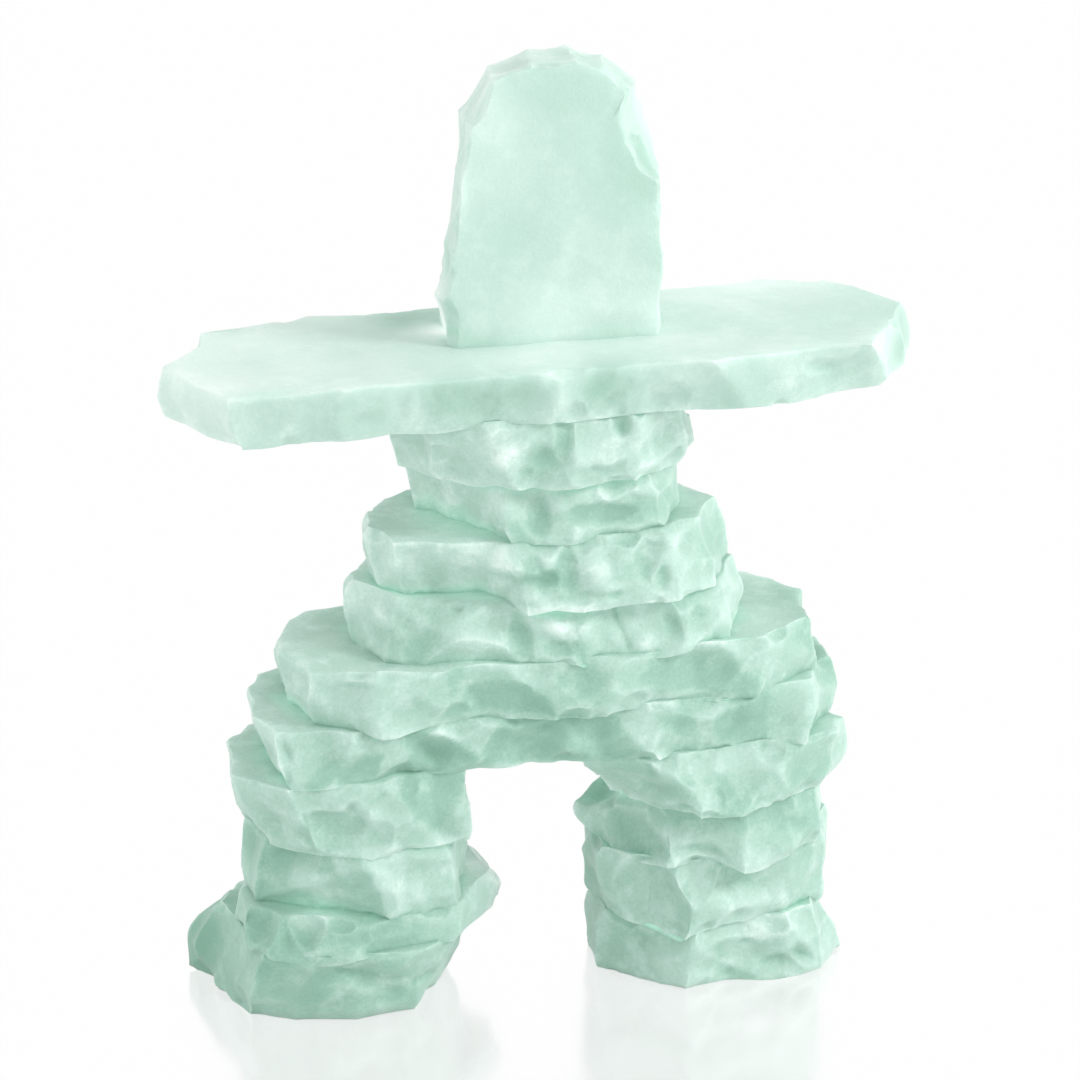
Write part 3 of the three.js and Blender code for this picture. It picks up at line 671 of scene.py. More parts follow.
# %% The whole grid of a stone
def stone_points(stone, seed):
    """Points (rows, round, 3) of a stone in its own frame, its outline in x and y: the underside
    from its middle outward, the side, and the top inward. The side and its normals come along."""
    levels, side = bare_side(stone)
    side, normal = worn_side(stone, levels, side, seed)
    side[..., 2] += edge_lift(stone, levels, side, seed)
    grounded = stone["base"] == 0
    lap = 0 if grounded or "on_edge" in stone else LAP
    under = cap(side[0], stone["base"] - lap, not grounded, seed + 4)
    over = cap(side[-1], stone["top"] + SINK, True, seed + 5)
    return np.concatenate([under, side, over[::-1]]), side, normal


# %% The crack
CRACK_HALF, CRACK_DEEP = 1.9, 1.1


def crack_depth(side):
    """How deep the crack is at each point: deep * (1 - off / half), where off is the distance in
    x and z from the line between its two ends."""
    (x0, z0), (x1, z1) = CRACK
    along = np.clip((side[..., 2] - z0) / (z1 - z0), 0, 1)
    off = np.hypot(side[..., 0] - x0 - (x1 - x0) * along, side[..., 2] - z0 - (z1 - z0) * along)
    return CRACK_DEEP * np.clip(1 - off / CRACK_HALF, 0, 1)


# %% The marks on the grid
def marked(stone, points, side, normal, seed):
    """The side moves by the depth of its marks along its normals. The level faces move as their
    edge does, times e to the power of -distance from it / reach."""
    rows = len(side)
    depth = mark_depth(side, normal, stone["name"], seed + 6)
    if stone["name"] == "lower_chest":
        depth -= crack_depth(side) * (normal[..., 1] < 0)
    for edge, ends in ((0, slice(0, CAP_ROWS)), (-1, slice(CAP_ROWS + rows, None))):
        run = np.linalg.norm(points[ends] - points[CAP_ROWS:CAP_ROWS + rows][edge], axis=2)
        fade = np.exp(-run / LAP_REACH) * depth[edge]
        points[ends] += normal[edge] * fade[..., None]
    points[CAP_ROWS:CAP_ROWS + rows] += normal * depth[..., None]
    return points


# %% Scars and chips
SWAY, SWAY_SIZE = 0.35, 9  # the sway of the chips, and the length of its waves
BROAD_SWAY, BROAD_SWAY_SIZE = 0.6, 24  # the same for broad scars and flakes
FLAKE_RADIUS, FLAKE_MOST, FLAKE_TILT = (28, 80), 2.2, 0.55
CHIP_RADIUS, CHIP_DEPTH, CHIP_TILT = (8, 26), (0.3, 1.5), 0.9


def struck(stone, points, side, normal, seed):
    """The grid after its broad scars, its marks, its random flakes and the chips along both
    edges. Their number is the length round the stone times the share of its skin."""
    skin = skins[stone["skin"]]
    draw = np.random.default_rng(seed + 9)
    broad = sway_of(points, BROAD_SWAY_SIZE, BROAD_SWAY, seed + 10)
    fine = sway_of(points, SWAY_SIZE, SWAY, seed + 20)
    for bite in stone.get("bites", ()):
        points = strike(points, np.array(bite[:3], float), np.array(bite[3:], float), broad)
    points = marked(stone, points, side, normal, seed)
    rows, around = side.shape[:2]
    length = around * SPACING

    def spots(number, low, high):
        """Random points of the side from row `low` up to row `high`, and their normals."""
        r = draw.integers(low, high, number)
        c = draw.integers(0, around, number)
        return side[r, c], normal[r, c]

    number = round(length * skin["flakes"])
    at, way = spots(number, 2, rows - 2)
    way = way + np.array([0, 0, 1]) * draw.uniform(-FLAKE_TILT, FLAKE_TILT, (number, 1))
    way /= np.linalg.norm(way, axis=1, keepdims=True)
    points = strike_many(points, at, way, draw.uniform(*FLAKE_RADIUS, number),
                         draw.uniform(*skin["flake_depth"], number), broad, FLAKE_MOST)

    number = round(length * skin["chips"])
    for low, tilt in ((0, -1), (rows - 1, 1)):
        at, way = spots(number, low, low + 1)
        way = way + np.array([0, 0, tilt]) * draw.uniform(0, CHIP_TILT, (number, 1))
        way /= np.linalg.norm(way, axis=1, keepdims=True)
        deep = CHIP_DEPTH[0] + (CHIP_DEPTH[1] - CHIP_DEPTH[0]) * draw.uniform(0, 1, number) ** 2
        points = strike_many(points, at, way, draw.uniform(*CHIP_RADIUS, number), deep, fine)
    if stone["base"] == 0:
        points[..., 2] = np.maximum(points[..., 2], 0)
    return points


# %% A closed mesh from a grid
def closed_mesh(name, grid):
    """Two triangles for each cell of the grid, and a fan to one point at either end."""
    rows, around = grid.shape[:2]
    ends = np.stack([grid[0].mean(axis=0), grid[-1].mean(axis=0)])
    points = np.concatenate([grid.reshape(-1, 3), ends])
    r = np.arange(rows - 1)[:, None] * around
    c = np.arange(around)[None, :]
    following = (c + 1) % around
    quads = np.stack([r + c, r + following, r + around + following, r + around + c], axis=-1)
    triangles = np.concatenate([
        np.concatenate([quads[..., (0, 1, 2)], quads[..., (0, 2, 3)]]).reshape(-1, 3),
        np.stack([following[0], c[0], np.full(around, rows * around)], axis=1),
        np.stack([c[0], following[0], np.full(around, rows * around + 1)], axis=1)
        + np.array([1, 1, 0]) * (rows - 1) * around,
    ])
    mesh = bpy.data.meshes.new(name)
    mesh.from_pydata(points, [], triangles.tolist())
    mesh.update()
    return mesh


# %% Every stone, in metres and in the frame of the solid
def to_frame(grid, stone):
    """Units to metres: (point - middle) * unit, after a stone on edge has turned up its outline."""
    if stone.get("on_edge"):
        grid = np.stack([grid[..., 0], -grid[..., 2], grid[..., 1]], axis=-1)
    return (grid - np.array([middle[0], middle[1], 0])) * UNIT


stone_objects = []
for name, stone in stones.items():
    stone["name"] = name
    points, side, normal = stone_points(stone, seed_of(name))
    points = struck(stone, points, side, normal, seed_of(name))
    mesh = closed_mesh(name, to_frame(points, stone))
    piece = bpy.data.objects.new(name, mesh)
    bpy.context.scene.collection.objects.link(piece)
    stone_objects.append(piece)
print("triangles of the separate stones:", sum(len(o.data.polygons) for o in stone_objects))

# %% [markdown]
# ## One casting
#
# The figure is cast whole, so the stones become one closed surface. A voxel remesh would join them
# too, but it rounds every arris. A Boolean modifier keeps them: it joins the stones one after
# another with the manifold solver, which is quick on dense closed meshes. Decimate then takes out
# the triangles that the flat places don't need.

# %% Joining the stones
def applied(piece):
    """The mesh of a piece after its modifiers."""
    return bpy.data.meshes.new_from_object(
        piece.evaluated_get(bpy.context.evaluated_depsgraph_get()))


figure = stone_objects[0]
for other in stone_objects[1:]:
    join = figure.modifiers.new("join", "BOOLEAN")
    join.operation = "UNION"
    join.solver = "MANIFOLD"
    join.object = other
    joined = applied(figure)
    figure.modifiers.clear()
    figure.data = joined
    bpy.data.objects.remove(other)
print("triangles of the casting:", sum(len(p.vertices) - 2 for p in figure.data.polygons))

# %% Thinning it
TRIANGLES, SHARP_FROM = 195_000, np.radians(38)
thin = figure.modifiers.new("thin", "DECIMATE")
thin.ratio = min(1.0, TRIANGLES / sum(len(p.vertices) - 2 for p in figure.data.polygons))
thin.use_collapse_triangulate = True
thinned = applied(figure)
figure.modifiers.clear()
figure.data = thinned
figure.name = figure.data.name = "glass_figure"
figure.data.shade_smooth()
figure.data.set_sharp_from_angle(angle=SHARP_FROM)
print("triangles after thinning:", len(figure.data.polygons))

# %% [markdown]
# ## What the glass does to light, and the painted light and shade
#
# Every colour of this glass lies on one line: white light that has gone a shorter or a longer way
# through it. Four numbers for each point tell the material how far along that line it is. The
# thickness is the glass itself, the cover is painted shade, and the bend and the tone are partly
# the glass and partly painted light and shade. The bend is above nothing on thin arrises, where
# the way is short and a painted highlight is laid on, and below nothing in grooves, as painted
# shade. It counts less on the arms and the head, whose arrises are duller. The cover is the share
# of the sky over the point that other parts of the figure shut out, and it paints shade into
# hollows, seams and the places under ledges. The thickness is how much glass lies behind it. The
# tone is what no rule gives: the casting is clearer in one place and milkier in another, some soft
# spots lift painted light into shadowed places or dim places that are lit too brightly, and single
# facets are painted deeper where they look away from the light and paler where they face it. All
# of it is set by looking at the real one.
#
# Blender's own pointiness and ambient occlusion nodes could give the first two, but an export
# loses them. So all four are worked out once and kept on the mesh.

# %% The mesh as arrays
mesh = figure.data
count = len(mesh.vertices)
co = np.empty(count * 3, np.float32)
mesh.vertices.foreach_get("co", co)
no = np.empty(count * 3, np.float32)
mesh.vertex_normals.foreach_get("vector", no)
pairs = np.empty(len(mesh.edges) * 2, np.int32)
mesh.edges.foreach_get("vertices", pairs)
corners = np.empty(len(mesh.polygons) * 3, np.int32)
mesh.polygons.foreach_get("vertices", corners)
co, no, pairs, corners = (v.reshape(-1, n) for v, n in ((co, 3), (no, 3), (pairs, 2), (corners, 3)))
here, there = np.concatenate([pairs, pairs[:, ::-1]]).T
degree = np.maximum(np.bincount(here, minlength=count), 1)
print("points:", count)


# %% Evening out
def evened(value, rounds):
    """The value at each point, moved half way to the mean of its neighbours, `rounds` times."""
    for _ in range(rounds):
        value = 0.5 * value + 0.5 * np.bincount(here, value[there], count) / degree
    return value


# %% Rays from every point
RAY_GAP, RAY_SEED = 0.0003, 5
tree = BVHTree.FromPolygons(co.tolist(), corners.tolist(), all_triangles=True)


def hemisphere(number):
    """Directions about +Z, each turned by the golden angle from the one before. The z of
    direction i is the square root of 1 - (i + 0.5) / number, so they crowd at the pole."""
    i = np.arange(number)
    high = np.sqrt(1 - (i + 0.5) / number)
    turn = i * np.pi * (3 - np.sqrt(5))
    wide = np.sqrt(1 - high**2)
    return np.stack([wide * np.cos(turn), wide * np.sin(turn), high], axis=1)


def free_way(way, number, farthest):
    """Mean length of `number` rays from each point about the direction `way`, at most
    `farthest`, the whole set of rays turned by a random angle about it at each point."""
    side = np.cross(way, np.where(np.abs(way[:, 2:]) < 0.9, (0, 0, 1), (1, 0, 0)))
    side /= np.maximum(np.linalg.norm(side, axis=1, keepdims=True), 1e-9)
    third = np.cross(way, side)
    angle = np.random.default_rng(RAY_SEED).uniform(0, 2 * np.pi, count)[:, None]
    side, third = (side * np.cos(angle) + third * np.sin(angle),
                   third * np.cos(angle) - side * np.sin(angle))
    starts = (co + way * RAY_GAP).tolist()
    total = np.zeros(count)
    for x, y, z in hemisphere(number):
        rays = (side * x + third * y + way * z).tolist()
        lengths = [tree.ray_cast(a, b, farthest)[3] for a, b in zip(starts, rays)]
        total += [farthest if length is None else length for length in lengths]
    return total / number


# %% Facets painted deeper where they look away from the light and paler where they face it, as painted shade and light, and by how much
facet_light_and_shade = [
    ("upper_hip", "flqg lmq qmno gqop", 0.17), ("upper_hip", "swCt wxC xyC CyzB zAB tCBD", 0.16),
    ("upper_hip", "lrEm mEn Evn", -0.05), ("lower_hip", "fgR ghR hiR ijR jkR klR lfR", 0.1),
    ("lower_hip", "nqOo qrO rsO stO oOtj", 0.17), ("lower_hip", "qur rus", -0.12),
    ("lower_hip", "hmi mnoi iop ipj", -0.08), ("lower_hip", "uvP uPs sPS vwzP wxz zxyS PzS", 0.15),
    ("lower_hip", "wAx xAE ABE BCE CTE xETy", 0.18), ("lower_hip", "FGZJ GHZ HIZ IJZ", 0.13),
    ("lower_hip", "KLM KMV LUNM MNWV", 0.15), ("left_second", "ihm hgkm gfk fek ejk", 0.06),
    ("left_second", "lab lbc lta lcf", 0.1), ("left_second", "dnre erqj", -0.14),
    ("left_first", "ABCDEFGH", 0.05), ("left_first", "nqro vwsq qstr", 0.1),
    ("left_first", "mun dmnope", -0.07), ("left_foot", "bcg bghi", 0.1),
    ("left_foot", "CDdc DEed", 0.05), ("left_third", "cefd lmvu iklj knml", 0.07),
    ("left_third", "ehgf hijg", -0.06), ("right_second", "Aabf fbce ecdg", 0.16),
    ("right_second", "BChb CDih", 0.12), ("right_second", "tuvG EFtj FHut", -0.04),
    ("right_third", "Oba bBa BCa CDqa qpa poa oOa", 0.1), ("right_third", "ehiE", 0.15),
    ("right_third", "BWC WEC VEW VeE", -0.08), ("right_third", "imjJ mlkj Hlm", -0.06),
    ("right_foot", "EFhk FGih Gji", 0.02), ("right_foot", "gpNG pqoN", -0.05),
    ("right_first", "abh bch cdeh hefg ahg", 0.08), ("right_first", "oki ikj", 0.08),
    ("right_first", "dsoe owlk stmw swo", -0.08),
]
print("facets with a tone of their own:", sum(len(faces.split()) for _, faces, _ in facet_light_and_shade))

# %% Soft spots of milkier or clearer glass, and spots of painted light and shade that lift shadowed places or dim lit ones: x, y and z, how far a spot reaches, and how much
milk_light_shade_spots = {
    "left leg": [
        (-140, 16, 14, 24, 0.6), (-128, -20, 10, 14, 0.25), (-80, -48, 14, 24, 0.08),
        (-92, -46, 40, 18, 0.1), (-122, -36, 38, 17, 0.42), (-112, -26, 70, 16, 0.12),
        (-58, -43, 62, 17, -0.1), (-100, -34, 52, 10, -0.4), (-31, -6, 46, 14, -0.46),
        (-80, -48, 33, 13, 0.14), (-131, -20, 40, 14, 0.18), (-64, -46, 105, 10, 0.12),
        (-96, -47, 106, 9, 0.1), (-122, -8, 66, 12, 0.12), (-112, -20, 95, 16, 0.06),
        (-92, -36, 52, 10, -0.1), (-81, -46, 27, 12, -0.14), (-122, -32, 42, 9, -0.16),
        (-90, -47, 94, 12, -0.09), (-106, -32, 70, 10, -0.07),
    ],
    "right leg": [
        (23, -22, 84, 14, -0.22), (32, -30, 70, 14, -0.2), (44, -42, 44, 14, -0.1),
        (57, -45, 58, 12, -0.12), (43, -40, 8, 12, -0.2), (77, -42, 22, 15, -0.26),
        (31, -48, 101, 14, -0.04), (66, -56, 86, 12, 0.22), (92, -46, 86, 12, 0.12),
        (98, -36, 70, 18, 0.1), (77, -42, 7, 13, 0.12), (32, -36, 42, 15, -0.14),
        (108, -29, 17, 12, 0.16), (18, -10, 88, 12, -0.4), (67, -51, 100, 12, -0.12),
    ],
    "hips": [
        (-122, 4, 110, 14, 0.12), (76, -46, 116, 18, 0.02), (31, -48, 127, 11, -0.12),
        (-38, -44, 112, 12, 0.1), (-58, -51, 140, 14, 0.06), (-103, -24, 132, 13, -0.16),
        (0, -53, 140, 12, 0.16), (96, -33, 131, 9, -0.2), (98, -33, 143, 17, 0.22),
        (112, -14, 127, 16, 0.34), (-87, -45, 143, 11, -0.12), (27, -48, 125, 9, -0.08),
        (-105, -46, 126, 10, 0.06), (-100, -26, 151, 13, 0.12), (82, -20, 151, 16, -0.2),
        (106, -6, 151, 19, 0.36), (52, -46, 152, 14, -0.14),
    ],
    "chest": [
        (-78, -18, 156, 14, -0.16), (-36, -44, 156, 14, -0.2), (-7, -47, 163, 12, -0.16),
        (-62, -18, 174, 14, -0.2), (-37, -28, 179, 11, -0.38), (22, -48, 182, 16, 0.14),
        (58, -34, 165, 18, -0.1), (62, -24, 190, 17, 0.22), (14, -46, 176, 12, -0.1),
        (-27, -43, 195, 6, -0.26), (-10, -46, 193, 5, -0.22), (7, -50, 188, 7, -0.14),
        (-9, -48, 185, 7, 0.24), (-17, -47, 190, 5, 0.16), (31, -46, 190, 12, -0.12),
        (-39, -26, 174, 9, 0.06), (-7, -46, 167, 7, -0.14), (-17, -47, 160, 8, 0.16),
        (3, -50, 156, 7, 0.12), (52, -42, 163, 11, 0.14), (-35, -40, 170, 9, 0.14),
        (29, -44, 166, 10, -0.18), (-28, -36, 177, 9, -0.12), (-19, -46, 163, 9, -0.12),
        (19, -45, 160, 12, -0.1),
    ],
    "neck": [
        (-40, -18, 206, 18, -0.3), (-55, -2, 208, 14, -0.16), (-21, -42, 206, 8, 0.25),
        (-50, -22, 228, 16, -0.08), (57, 0, 202, 12, -0.24), (38, -36, 238, 14, -0.08),
        (-5, -48, 233, 10, -0.14), (-27, -48, 237, 8, -0.12), (14, -46, 234, 9, -0.1),
        (-8, -48, 237, 9, 0.16), (18, -47, 244, 6, 0.04), (-15, -40, 211, 10, -0.14),
        (-27, -36, 215, 8, -0.14), (20, -42, 208, 9, 0.1), (14, -40, 216, 6, -0.14),
        (11, -44, 201, 9, -0.12), (56, -20, 200, 10, -0.16), (-34, -44, 236, 11, -0.08),
    ],
    "arms": [
        (-14, -54, 260, 11, -0.04), (12, -53, 265, 14, 0.12), (66, -54, 260, 20, 0.08),
        (-90, -58, 268, 18, 0.08), (-140, -36, 256, 18, -0.06), (-62, 6, 270, 28, 0.04),
        (104, -36, 271, 14, 0.14), (120, -5, 271, 30, 0.16), (146, -12, 262, 16, 0.3),
        (-49, -53, 264, 12, 0.2), (-30, -54, 263, 11, 0.18), (-18, -55, 264, 7, 0.14),
        (-3, -54, 262, 8, -0.06), (9, -53, 262, 9, 0.12), (-50, 22, 271, 15, 0.4),
        (-20, -36, 271, 24, -0.1), (64, 6, 271, 16, -0.07), (-7, -55, 264, 8, 0.1),
        (-76, -55, 263, 9, 0.08), (-119, -58, 271, 10, 0.1),
    ],
    "head": [
        (0, -22, 273, 24, -0.22), (-28, -20, 312, 22, 0.07), (14, -20, 304, 20, -0.06),
        (36, -20, 274, 14, -0.14), (10, -15, 374, 26, 0.14), (-14, -20, 375, 11, 0.12),
        (36, -12, 336, 24, 0.24), (-38, 4, 276, 14, -0.5), (-39, 0, 276, 10, -0.14),
        (-3, -20, 290, 16, 0.05),
    ],
}
print("soft spots:", {part: len(rows) for part, rows in milk_light_shade_spots.items()})

# %% The tone of every point: milky spots, and painted light and shade on spots, marks and facets
MARK_HIGHLIGHT_SHADE = 0.05  # a mark that stands out by one unit is paler by this
TONE_FRONT = 2  # how fast the tone of marks and facets fades away from the front
at = co / UNIT + (*middle, 0)
tone = np.zeros(count)
# soft spots: milkier or clearer glass, and painted light and shade that lifts shadowed places and dims
# lit ones
for rows in milk_light_shade_spots.values():
    for x, y, z, wide, much in rows:
        off = np.linalg.norm(at - (x, y, z), axis=1)
        tone += much * np.exp(-(off / wide) ** 2)
front = np.clip(-TONE_FRONT * no[:, 1], 0, 1)
# painted highlight on swells and painted shade in scars: each mark is paler or deeper by how far it
# stands out
for rows in marks.values():
    for x, z, wide, tall, push in rows:
        q = ((at[:, 0] - x) / wide) ** 2 + ((at[:, 2] - z) / tall) ** 2
        tone -= MARK_HIGHLIGHT_SHADE * push * np.exp(-q) * front
# painted light and shade of single facets, on the front only
for name, faces, much in facet_light_and_shade:
    tone += much * facet_depth(at, facets[name][0], faces, facet_seed(name))[1] * front
print("tone from", tone.min().round(2), "to", tone.max().round(2))

# %% The four numbers
CALM_FROM, CALM_SHARE = 250, 0.3  # from this height up the bend is taken times this
SKY_RAYS, SKY_REACH = 8, 0.07
GLASS_RAYS, GLASS_REACH = 4, 0.1
gap = co[here] - co[there]
slope = (gap * no[here]).sum(axis=1) / np.maximum(np.linalg.norm(gap, axis=1), 1e-9)
calm = np.where(at[:, 2] > CALM_FROM, CALM_SHARE, 1)
measures = {
    "bend": calm * evened(np.bincount(here, slope, count) / degree, 1),
    "cover": evened(1 - free_way(no, SKY_RAYS, SKY_REACH) / SKY_REACH, 4),
    "thick": evened(free_way(-no, GLASS_RAYS, GLASS_REACH) / GLASS_REACH, 8),
    "tone": evened(tone, 1),
}
for name, value in measures.items():
    figure.data.attributes.new(name, "FLOAT", "POINT").data.foreach_set(
        "value", value.astype(np.float32))
    print(name, "from low to high:", np.percentile(value, (2, 25, 50, 75, 98)).round(2))

# %% [markdown]
# ## Satin glass
#
# Etched cast glass scatters light at its skin and again inside, so it glows rather than shines.
# Clear glass with a cloudy volume in it would be nearest to the real thing, but it is slow to
# render and an export loses it. So the skin is opaque, and its colour says how far the light
# behind it has gone, with painted light and shade laid into it. The Principled shader's subsurface
# gives the inner glow, a high roughness and a little sheen give the satin, and two Bump nodes give
# the ripples and the etched grain. The seams get a faint painted glow of their own, green, which
# stands in for light that comes through the stones and lifts the shade in them, because on the
# real glass they are never as dark as between two stones.

# %% Helpers for nodes
glass = bpy.data.materials.new("satin_glass")
glass.use_nodes = True
nodes, links = glass.node_tree.nodes, glass.node_tree.links
shader = nodes["Principled BSDF"]


def add(kind, **values):
    """A node of that kind, with its sockets or properties set by name."""
    node = nodes.new(kind)
    for key, value in values.items():
        if key in node.inputs:
            node.inputs[key].default_value = value
        else:
            setattr(node, key, value)
    return node


def noise(size, detail, roughness=0.5):
    """Noise over the object's own coordinates, its lumps about `size` metres across."""
    node = add("ShaderNodeTexNoise", Scale=1 / size, Detail=detail, Roughness=roughness)
    links.new(where.outputs["Object"], node.inputs["Vector"])
    return node.outputs["Fac"]


def spread(value, low, high, to_low=0.0, to_high=1.0):
    """The value from low to high becomes to_low to to_high."""
    node = add("ShaderNodeMapRange")
    for key, number in zip(("From Min", "From Max", "To Min", "To Max"),
                           (low, high, to_low, to_high)):
        node.inputs[key].default_value = number
    links.new(value, node.inputs["Value"])
    return node.outputs["Result"]


def tint(share, first, second):
    """A colour from the first to the second by a share, both as three numbers."""
    node = add("ShaderNodeMix", data_type="RGBA")
    links.new(share, node.inputs["Factor"])
    for socket, colour in ((node.inputs[6], first), (node.inputs[7], second)):
        socket.default_value = (*colour, 1)
    return node.outputs[2]


def product(first, second):
    """One value times another."""
    node = add("ShaderNodeMath", operation="MULTIPLY")
    links.new(first, node.inputs[0])
    links.new(second, node.inputs[1])
    return node.outputs[0]


where = add("ShaderNodeTexCoord")


# %% Helpers for the way of the light
def plus(value, times, base):
    """value * times + base, where base is a number or another socket."""
    node = add("ShaderNodeMath", operation="MULTIPLY_ADD")
    links.new(value, node.inputs[0])
    node.inputs[1].default_value = times
    if isinstance(base, (int, float)):
        node.inputs[2].default_value = base
    else:
        links.new(base, node.inputs[2])
    return node.outputs[0]


def measured(name):
    """The number of that name at each point of the mesh."""
    return add("ShaderNodeAttribute", attribute_name=name).outputs["Fac"]


# %% What makes the colour deeper or paler: the glass, and painted light and shade
LEAST_WAY, HEIGHT_WAY = 0.17, -0.4  # at the ground, and for each metre above it
THICK_WAY, COVER_SHADE_WAY, BEND_LIGHT_SHADE_WAY = 0.36, 0.12, -0.6  # for each unit of the numbers measured
CLOUD_SIZE, CLOUD_WAY = 0.03, 0.2  # milky clouds
FROST_SIZE, FROST_WAY = 0.012, -0.18  # paler frosted patches
SPECK_SIZE, SPECK_WAY = 0.0013, 0.26  # the fine specks of the grain
LEAN_LIGHT_SHADE_WAY, TURN_LIGHT_SHADE_WAY = 0.06, 0.03  # faces that look down, and faces turned to the left
SMOOTH_FROM, SMOOTH_FULL, SMOOTH_SHARE = 0.245, 0.27, 0.35  # arms and head are less mottled
height = add("ShaderNodeSeparateXYZ")
links.new(where.outputs["Object"], height.inputs["Vector"])
# the colour is deeper toward the ground and paler for each metre higher up
way = plus(height.outputs["Z"], HEIGHT_WAY, LEAST_WAY)
way = plus(measured("thick"), THICK_WAY, way)
# painted shade: the more of the sky a point has shut out, the deeper its colour, in hollows, seams and
# under ledges
way = plus(measured("cover"), COVER_SHADE_WAY, way)
# paler on arrises, partly the short way through thin glass and partly a painted highlight, and deeper
# in grooves as painted shade
way = plus(measured("bend"), BEND_LIGHT_SHADE_WAY, way)
way = plus(noise(CLOUD_SIZE, 4), CLOUD_WAY, way)
# the tone: milky spots, and painted light and shade on spots, marks and facets
way = plus(measured("tone"), 1.0, way)
facing = add("ShaderNodeSeparateXYZ")
links.new(where.outputs["Normal"], facing.inputs["Vector"])
# painted light and shade by facing: faces that look down and faces turned to the left are deeper, faces
# that look straight up and faces turned to the right are paler
way = plus(spread(facing.outputs["Z"], -0.35, 0.35, 0.5, -0.5), LEAN_LIGHT_SHADE_WAY, way)
way = plus(spread(facing.outputs["Z"], 0.5, 0.9), LEAN_LIGHT_SHADE_WAY / 2, way)
way = plus(spread(facing.outputs["X"], -0.6, 0.6, 0.5, -0.5), TURN_LIGHT_SHADE_WAY, way)
mottled = spread(height.outputs["Z"], SMOOTH_FROM, SMOOTH_FULL, 1.0, SMOOTH_SHARE)
frost = spread(noise(FROST_SIZE, 5, 0.65), 0.5, 0.7)
way = plus(product(frost, mottled), FROST_WAY, way)
way = plus(product(noise(SPECK_SIZE, 2, 0.7), mottled), SPECK_WAY, way)

# %% The colours of the glass: e to the power of -dimming * (palest + way)
DIMMING = np.array([1.72, 1.0, 1.29])  # how fast red, green and blue are lost on the way
PALEST = 0.06
ramp = add("ShaderNodeValToRGB")
links.new(way, ramp.inputs["Fac"])
stops = ramp.color_ramp.elements
for share in (0.2, 0.4, 0.7):
    stops.new(share)
for stop in stops:
    stop.color = (*np.exp(-DIMMING * (PALEST + stop.position)), 1)
links.new(ramp.outputs["Color"], shader.inputs["Base Color"])

# %% Its skin
links.new(spread(noise(0.008, 4), 0.3, 0.7, 0.5, 0.66), shader.inputs["Roughness"])
ripple = add("ShaderNodeBump", Strength=0.5, Distance=0.0009)
links.new(noise(0.009, 3), ripple.inputs["Height"])
grain = add("ShaderNodeBump", Strength=0.5, Distance=0.0003)
links.new(noise(0.0011, 3, 0.6), grain.inputs["Height"])
links.new(ripple.outputs["Normal"], grain.inputs["Normal"])
links.new(grain.outputs["Normal"], shader.inputs["Normal"])
# the emission strength is that of the painted glow in the seams
for socket, number in (("IOR", 1.5), ("Subsurface Weight", 0.2), ("Subsurface Scale", 0.012),
                       ("Subsurface Radius", (1.0, 1.0, 1.0)), ("Sheen Weight", 0.3),
                       ("Sheen Roughness", 0.6), ("Emission Strength", 0.5)):
    shader.inputs[socket].default_value = number

# %% The painted glow in the seams
SEAM_LIGHT = 0.3, 0.6, 0.465
LIT_FROM, LIT_FULL = 0.3, 0.9  # where the cover is from this up to this
# painted glow: the more of the sky a point has shut out, the more it glows green
lit = spread(measured("cover"), LIT_FROM, LIT_FULL)
links.new(tint(lit, (0, 0, 0), SEAM_LIGHT), shader.inputs["Emission Color"])
figure.data.materials.clear()
figure.data.materials.append(glass)
print("material", glass.name, "with", len(nodes), "nodes")

# %% The piece takes the place of the solid
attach(figure, "root")
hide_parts("inukshuk")

# %% [markdown]
# ## Floor, light and camera
#
# Satin glass shows its form best in soft light from all round. A softbox on the right gives it a
# bright side, a weak one low in front opens the shadows, and two stand behind on either side,
# which makes the thin edges glow. A white table could be lit until it is white in the render, but
# then it would wash the colour out of the glass. So the camera sees table and room as lit white,
# the table with a blurred reflection, and all other rays find the table a matt near white.

# %% The floor
SEEN_WHITE, ROOM_LIGHT, TABLE_WHITE = 1.12, 0.95, (0.9, 0.9, 0.9, 1)
MIRROR_SHARE, MIRROR_BLUR = 0.35, 0.16
bpy.ops.mesh.primitive_plane_add(size=14, location=(0, 1.5, 0))
floor = bpy.context.object
floor.name = "studio_floor"
table = bpy.data.materials.new("lit_table")
table.use_nodes = True
table.node_tree.nodes.clear()


def table_node(kind, **values):
    """A node of the table's material, with its sockets set by name."""
    node = table.node_tree.nodes.new(kind)
    for key, value in values.items():
        node.inputs[key].default_value = value
    return node


seen = table_node("ShaderNodeEmission", Strength=SEEN_WHITE)
shine = table_node("ShaderNodeBsdfGlossy", Roughness=MIRROR_BLUR)
matt = table_node("ShaderNodeBsdfDiffuse", Color=TABLE_WHITE)
glossy = table_node("ShaderNodeMixShader", Fac=MIRROR_SHARE)
either = table_node("ShaderNodeMixShader")
rays = table_node("ShaderNodeLightPath")
out = table_node("ShaderNodeOutputMaterial")
for socket, plug in ((seen.outputs[0], glossy.inputs[1]), (shine.outputs[0], glossy.inputs[2]),
                     (rays.outputs["Is Camera Ray"], either.inputs["Fac"]),
                     (matt.outputs[0], either.inputs[1]), (glossy.outputs[0], either.inputs[2]),
                     (either.outputs[0], out.inputs["Surface"])):
    table.node_tree.links.new(socket, plug)
floor.data.materials.append(table)
print("floor", floor.name, "with the material", table.name)

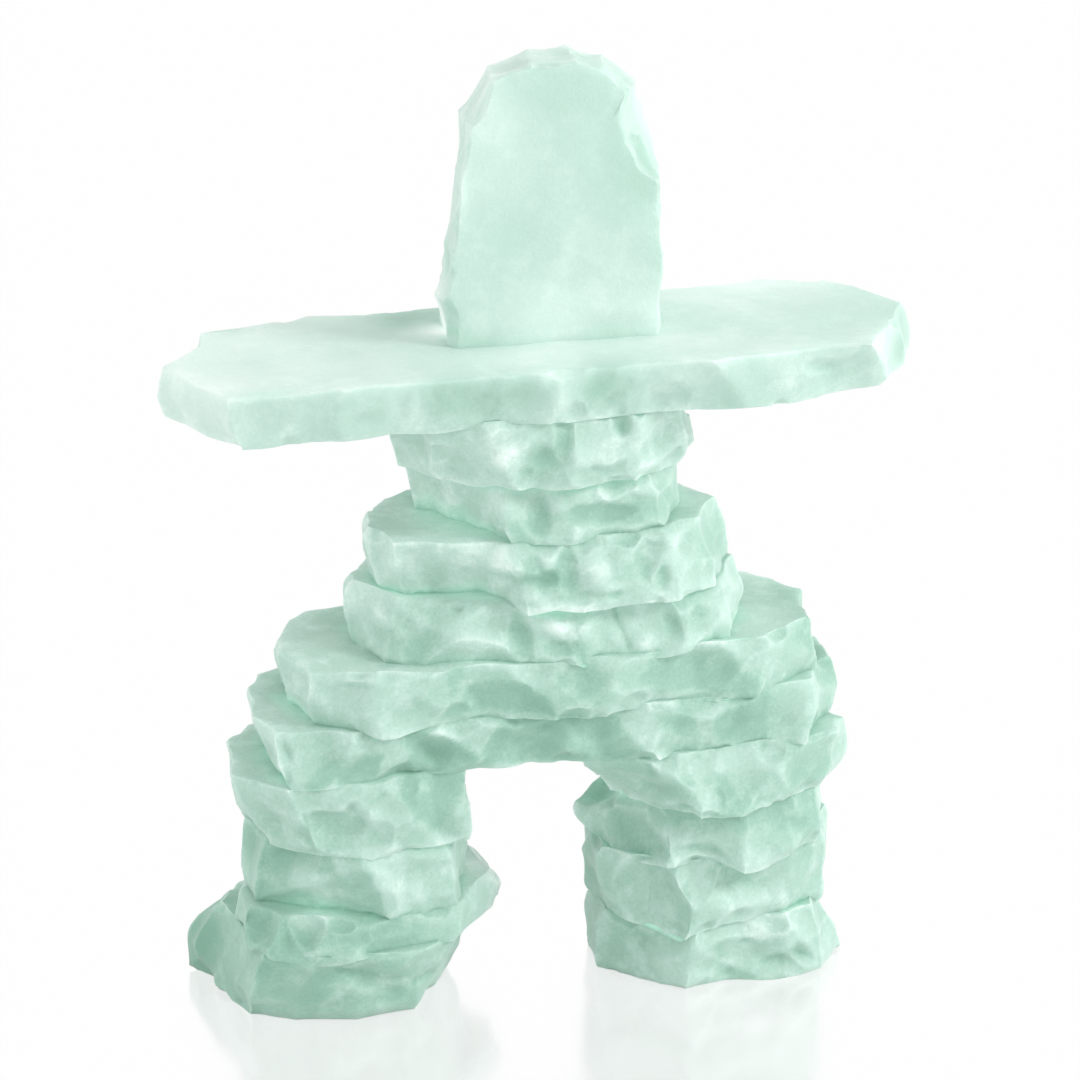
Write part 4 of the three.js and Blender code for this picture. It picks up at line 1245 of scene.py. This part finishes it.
# %% The room
world = bpy.data.worlds.new("soft_room")
bpy.context.scene.world = world
world.use_nodes = True
room = world.node_tree.nodes["Background"]
room.inputs["Color"].default_value = (1, 1, 1, 1)
ray_kind = world.node_tree.nodes.new("ShaderNodeLightPath")
bright = world.node_tree.nodes.new("ShaderNodeMapRange")
bright.inputs["To Min"].default_value = ROOM_LIGHT
bright.inputs["To Max"].default_value = SEEN_WHITE
world.node_tree.links.new(ray_kind.outputs["Is Camera Ray"], bright.inputs["Value"])
world.node_tree.links.new(bright.outputs["Result"], room.inputs["Strength"])


# %% The softboxes
def softbox(name, at, towards, size, watts):
    """A square area light that faces a point."""
    light = bpy.data.lights.new(name, "AREA")
    light.size, light.energy = size, watts
    lamp = bpy.data.objects.new(name, light)
    lamp.location = at
    lamp.rotation_euler = (Vector(towards) - Vector(at)).to_track_quat("-Z", "Y").to_euler()
    bpy.context.scene.collection.objects.link(lamp)


softbox("key", (1.4, -0.8, 1.2), (0, 0, 0.2), 0.5, 16)
softbox("fill", (-0.5, -1.7, 0.2), (0, 0, 0.12), 1.2, 5)
softbox("rim_left", (-1.5, 0.6, 0.7), (0, 0, 0.2), 1.2, 5)
softbox("rim_right", (1.5, 0.6, 0.7), (0, 0, 0.2), 1.2, 5)
print("softboxes:", [light.name for light in bpy.data.lights])

# %% Camera
AZIMUTH, ELEVATION, DISTANCE = np.radians(-13), np.radians(21), 1.5
TARGET = Vector((-0.0003, 0.00985, 0.1824))
LENS_MM, SENSOR_MM = 126.7, 36
back = Vector((np.sin(AZIMUTH) * np.cos(ELEVATION), -np.cos(AZIMUTH) * np.cos(ELEVATION),
               np.sin(ELEVATION)))
lens = bpy.data.cameras.new("camera")
lens.lens, lens.sensor_width = LENS_MM, SENSOR_MM
lens.clip_end = 50
camera = bpy.data.objects.new("camera", lens)
camera.location = TARGET + back * DISTANCE
camera.rotation_euler = (-back).to_track_quat("-Z", "Y").to_euler()
bpy.context.scene.collection.objects.link(camera)
bpy.context.scene.camera = camera
bpy.context.scene.view_settings.view_transform = "Standard"
print("camera at", [round(v, 3) for v in camera.location])
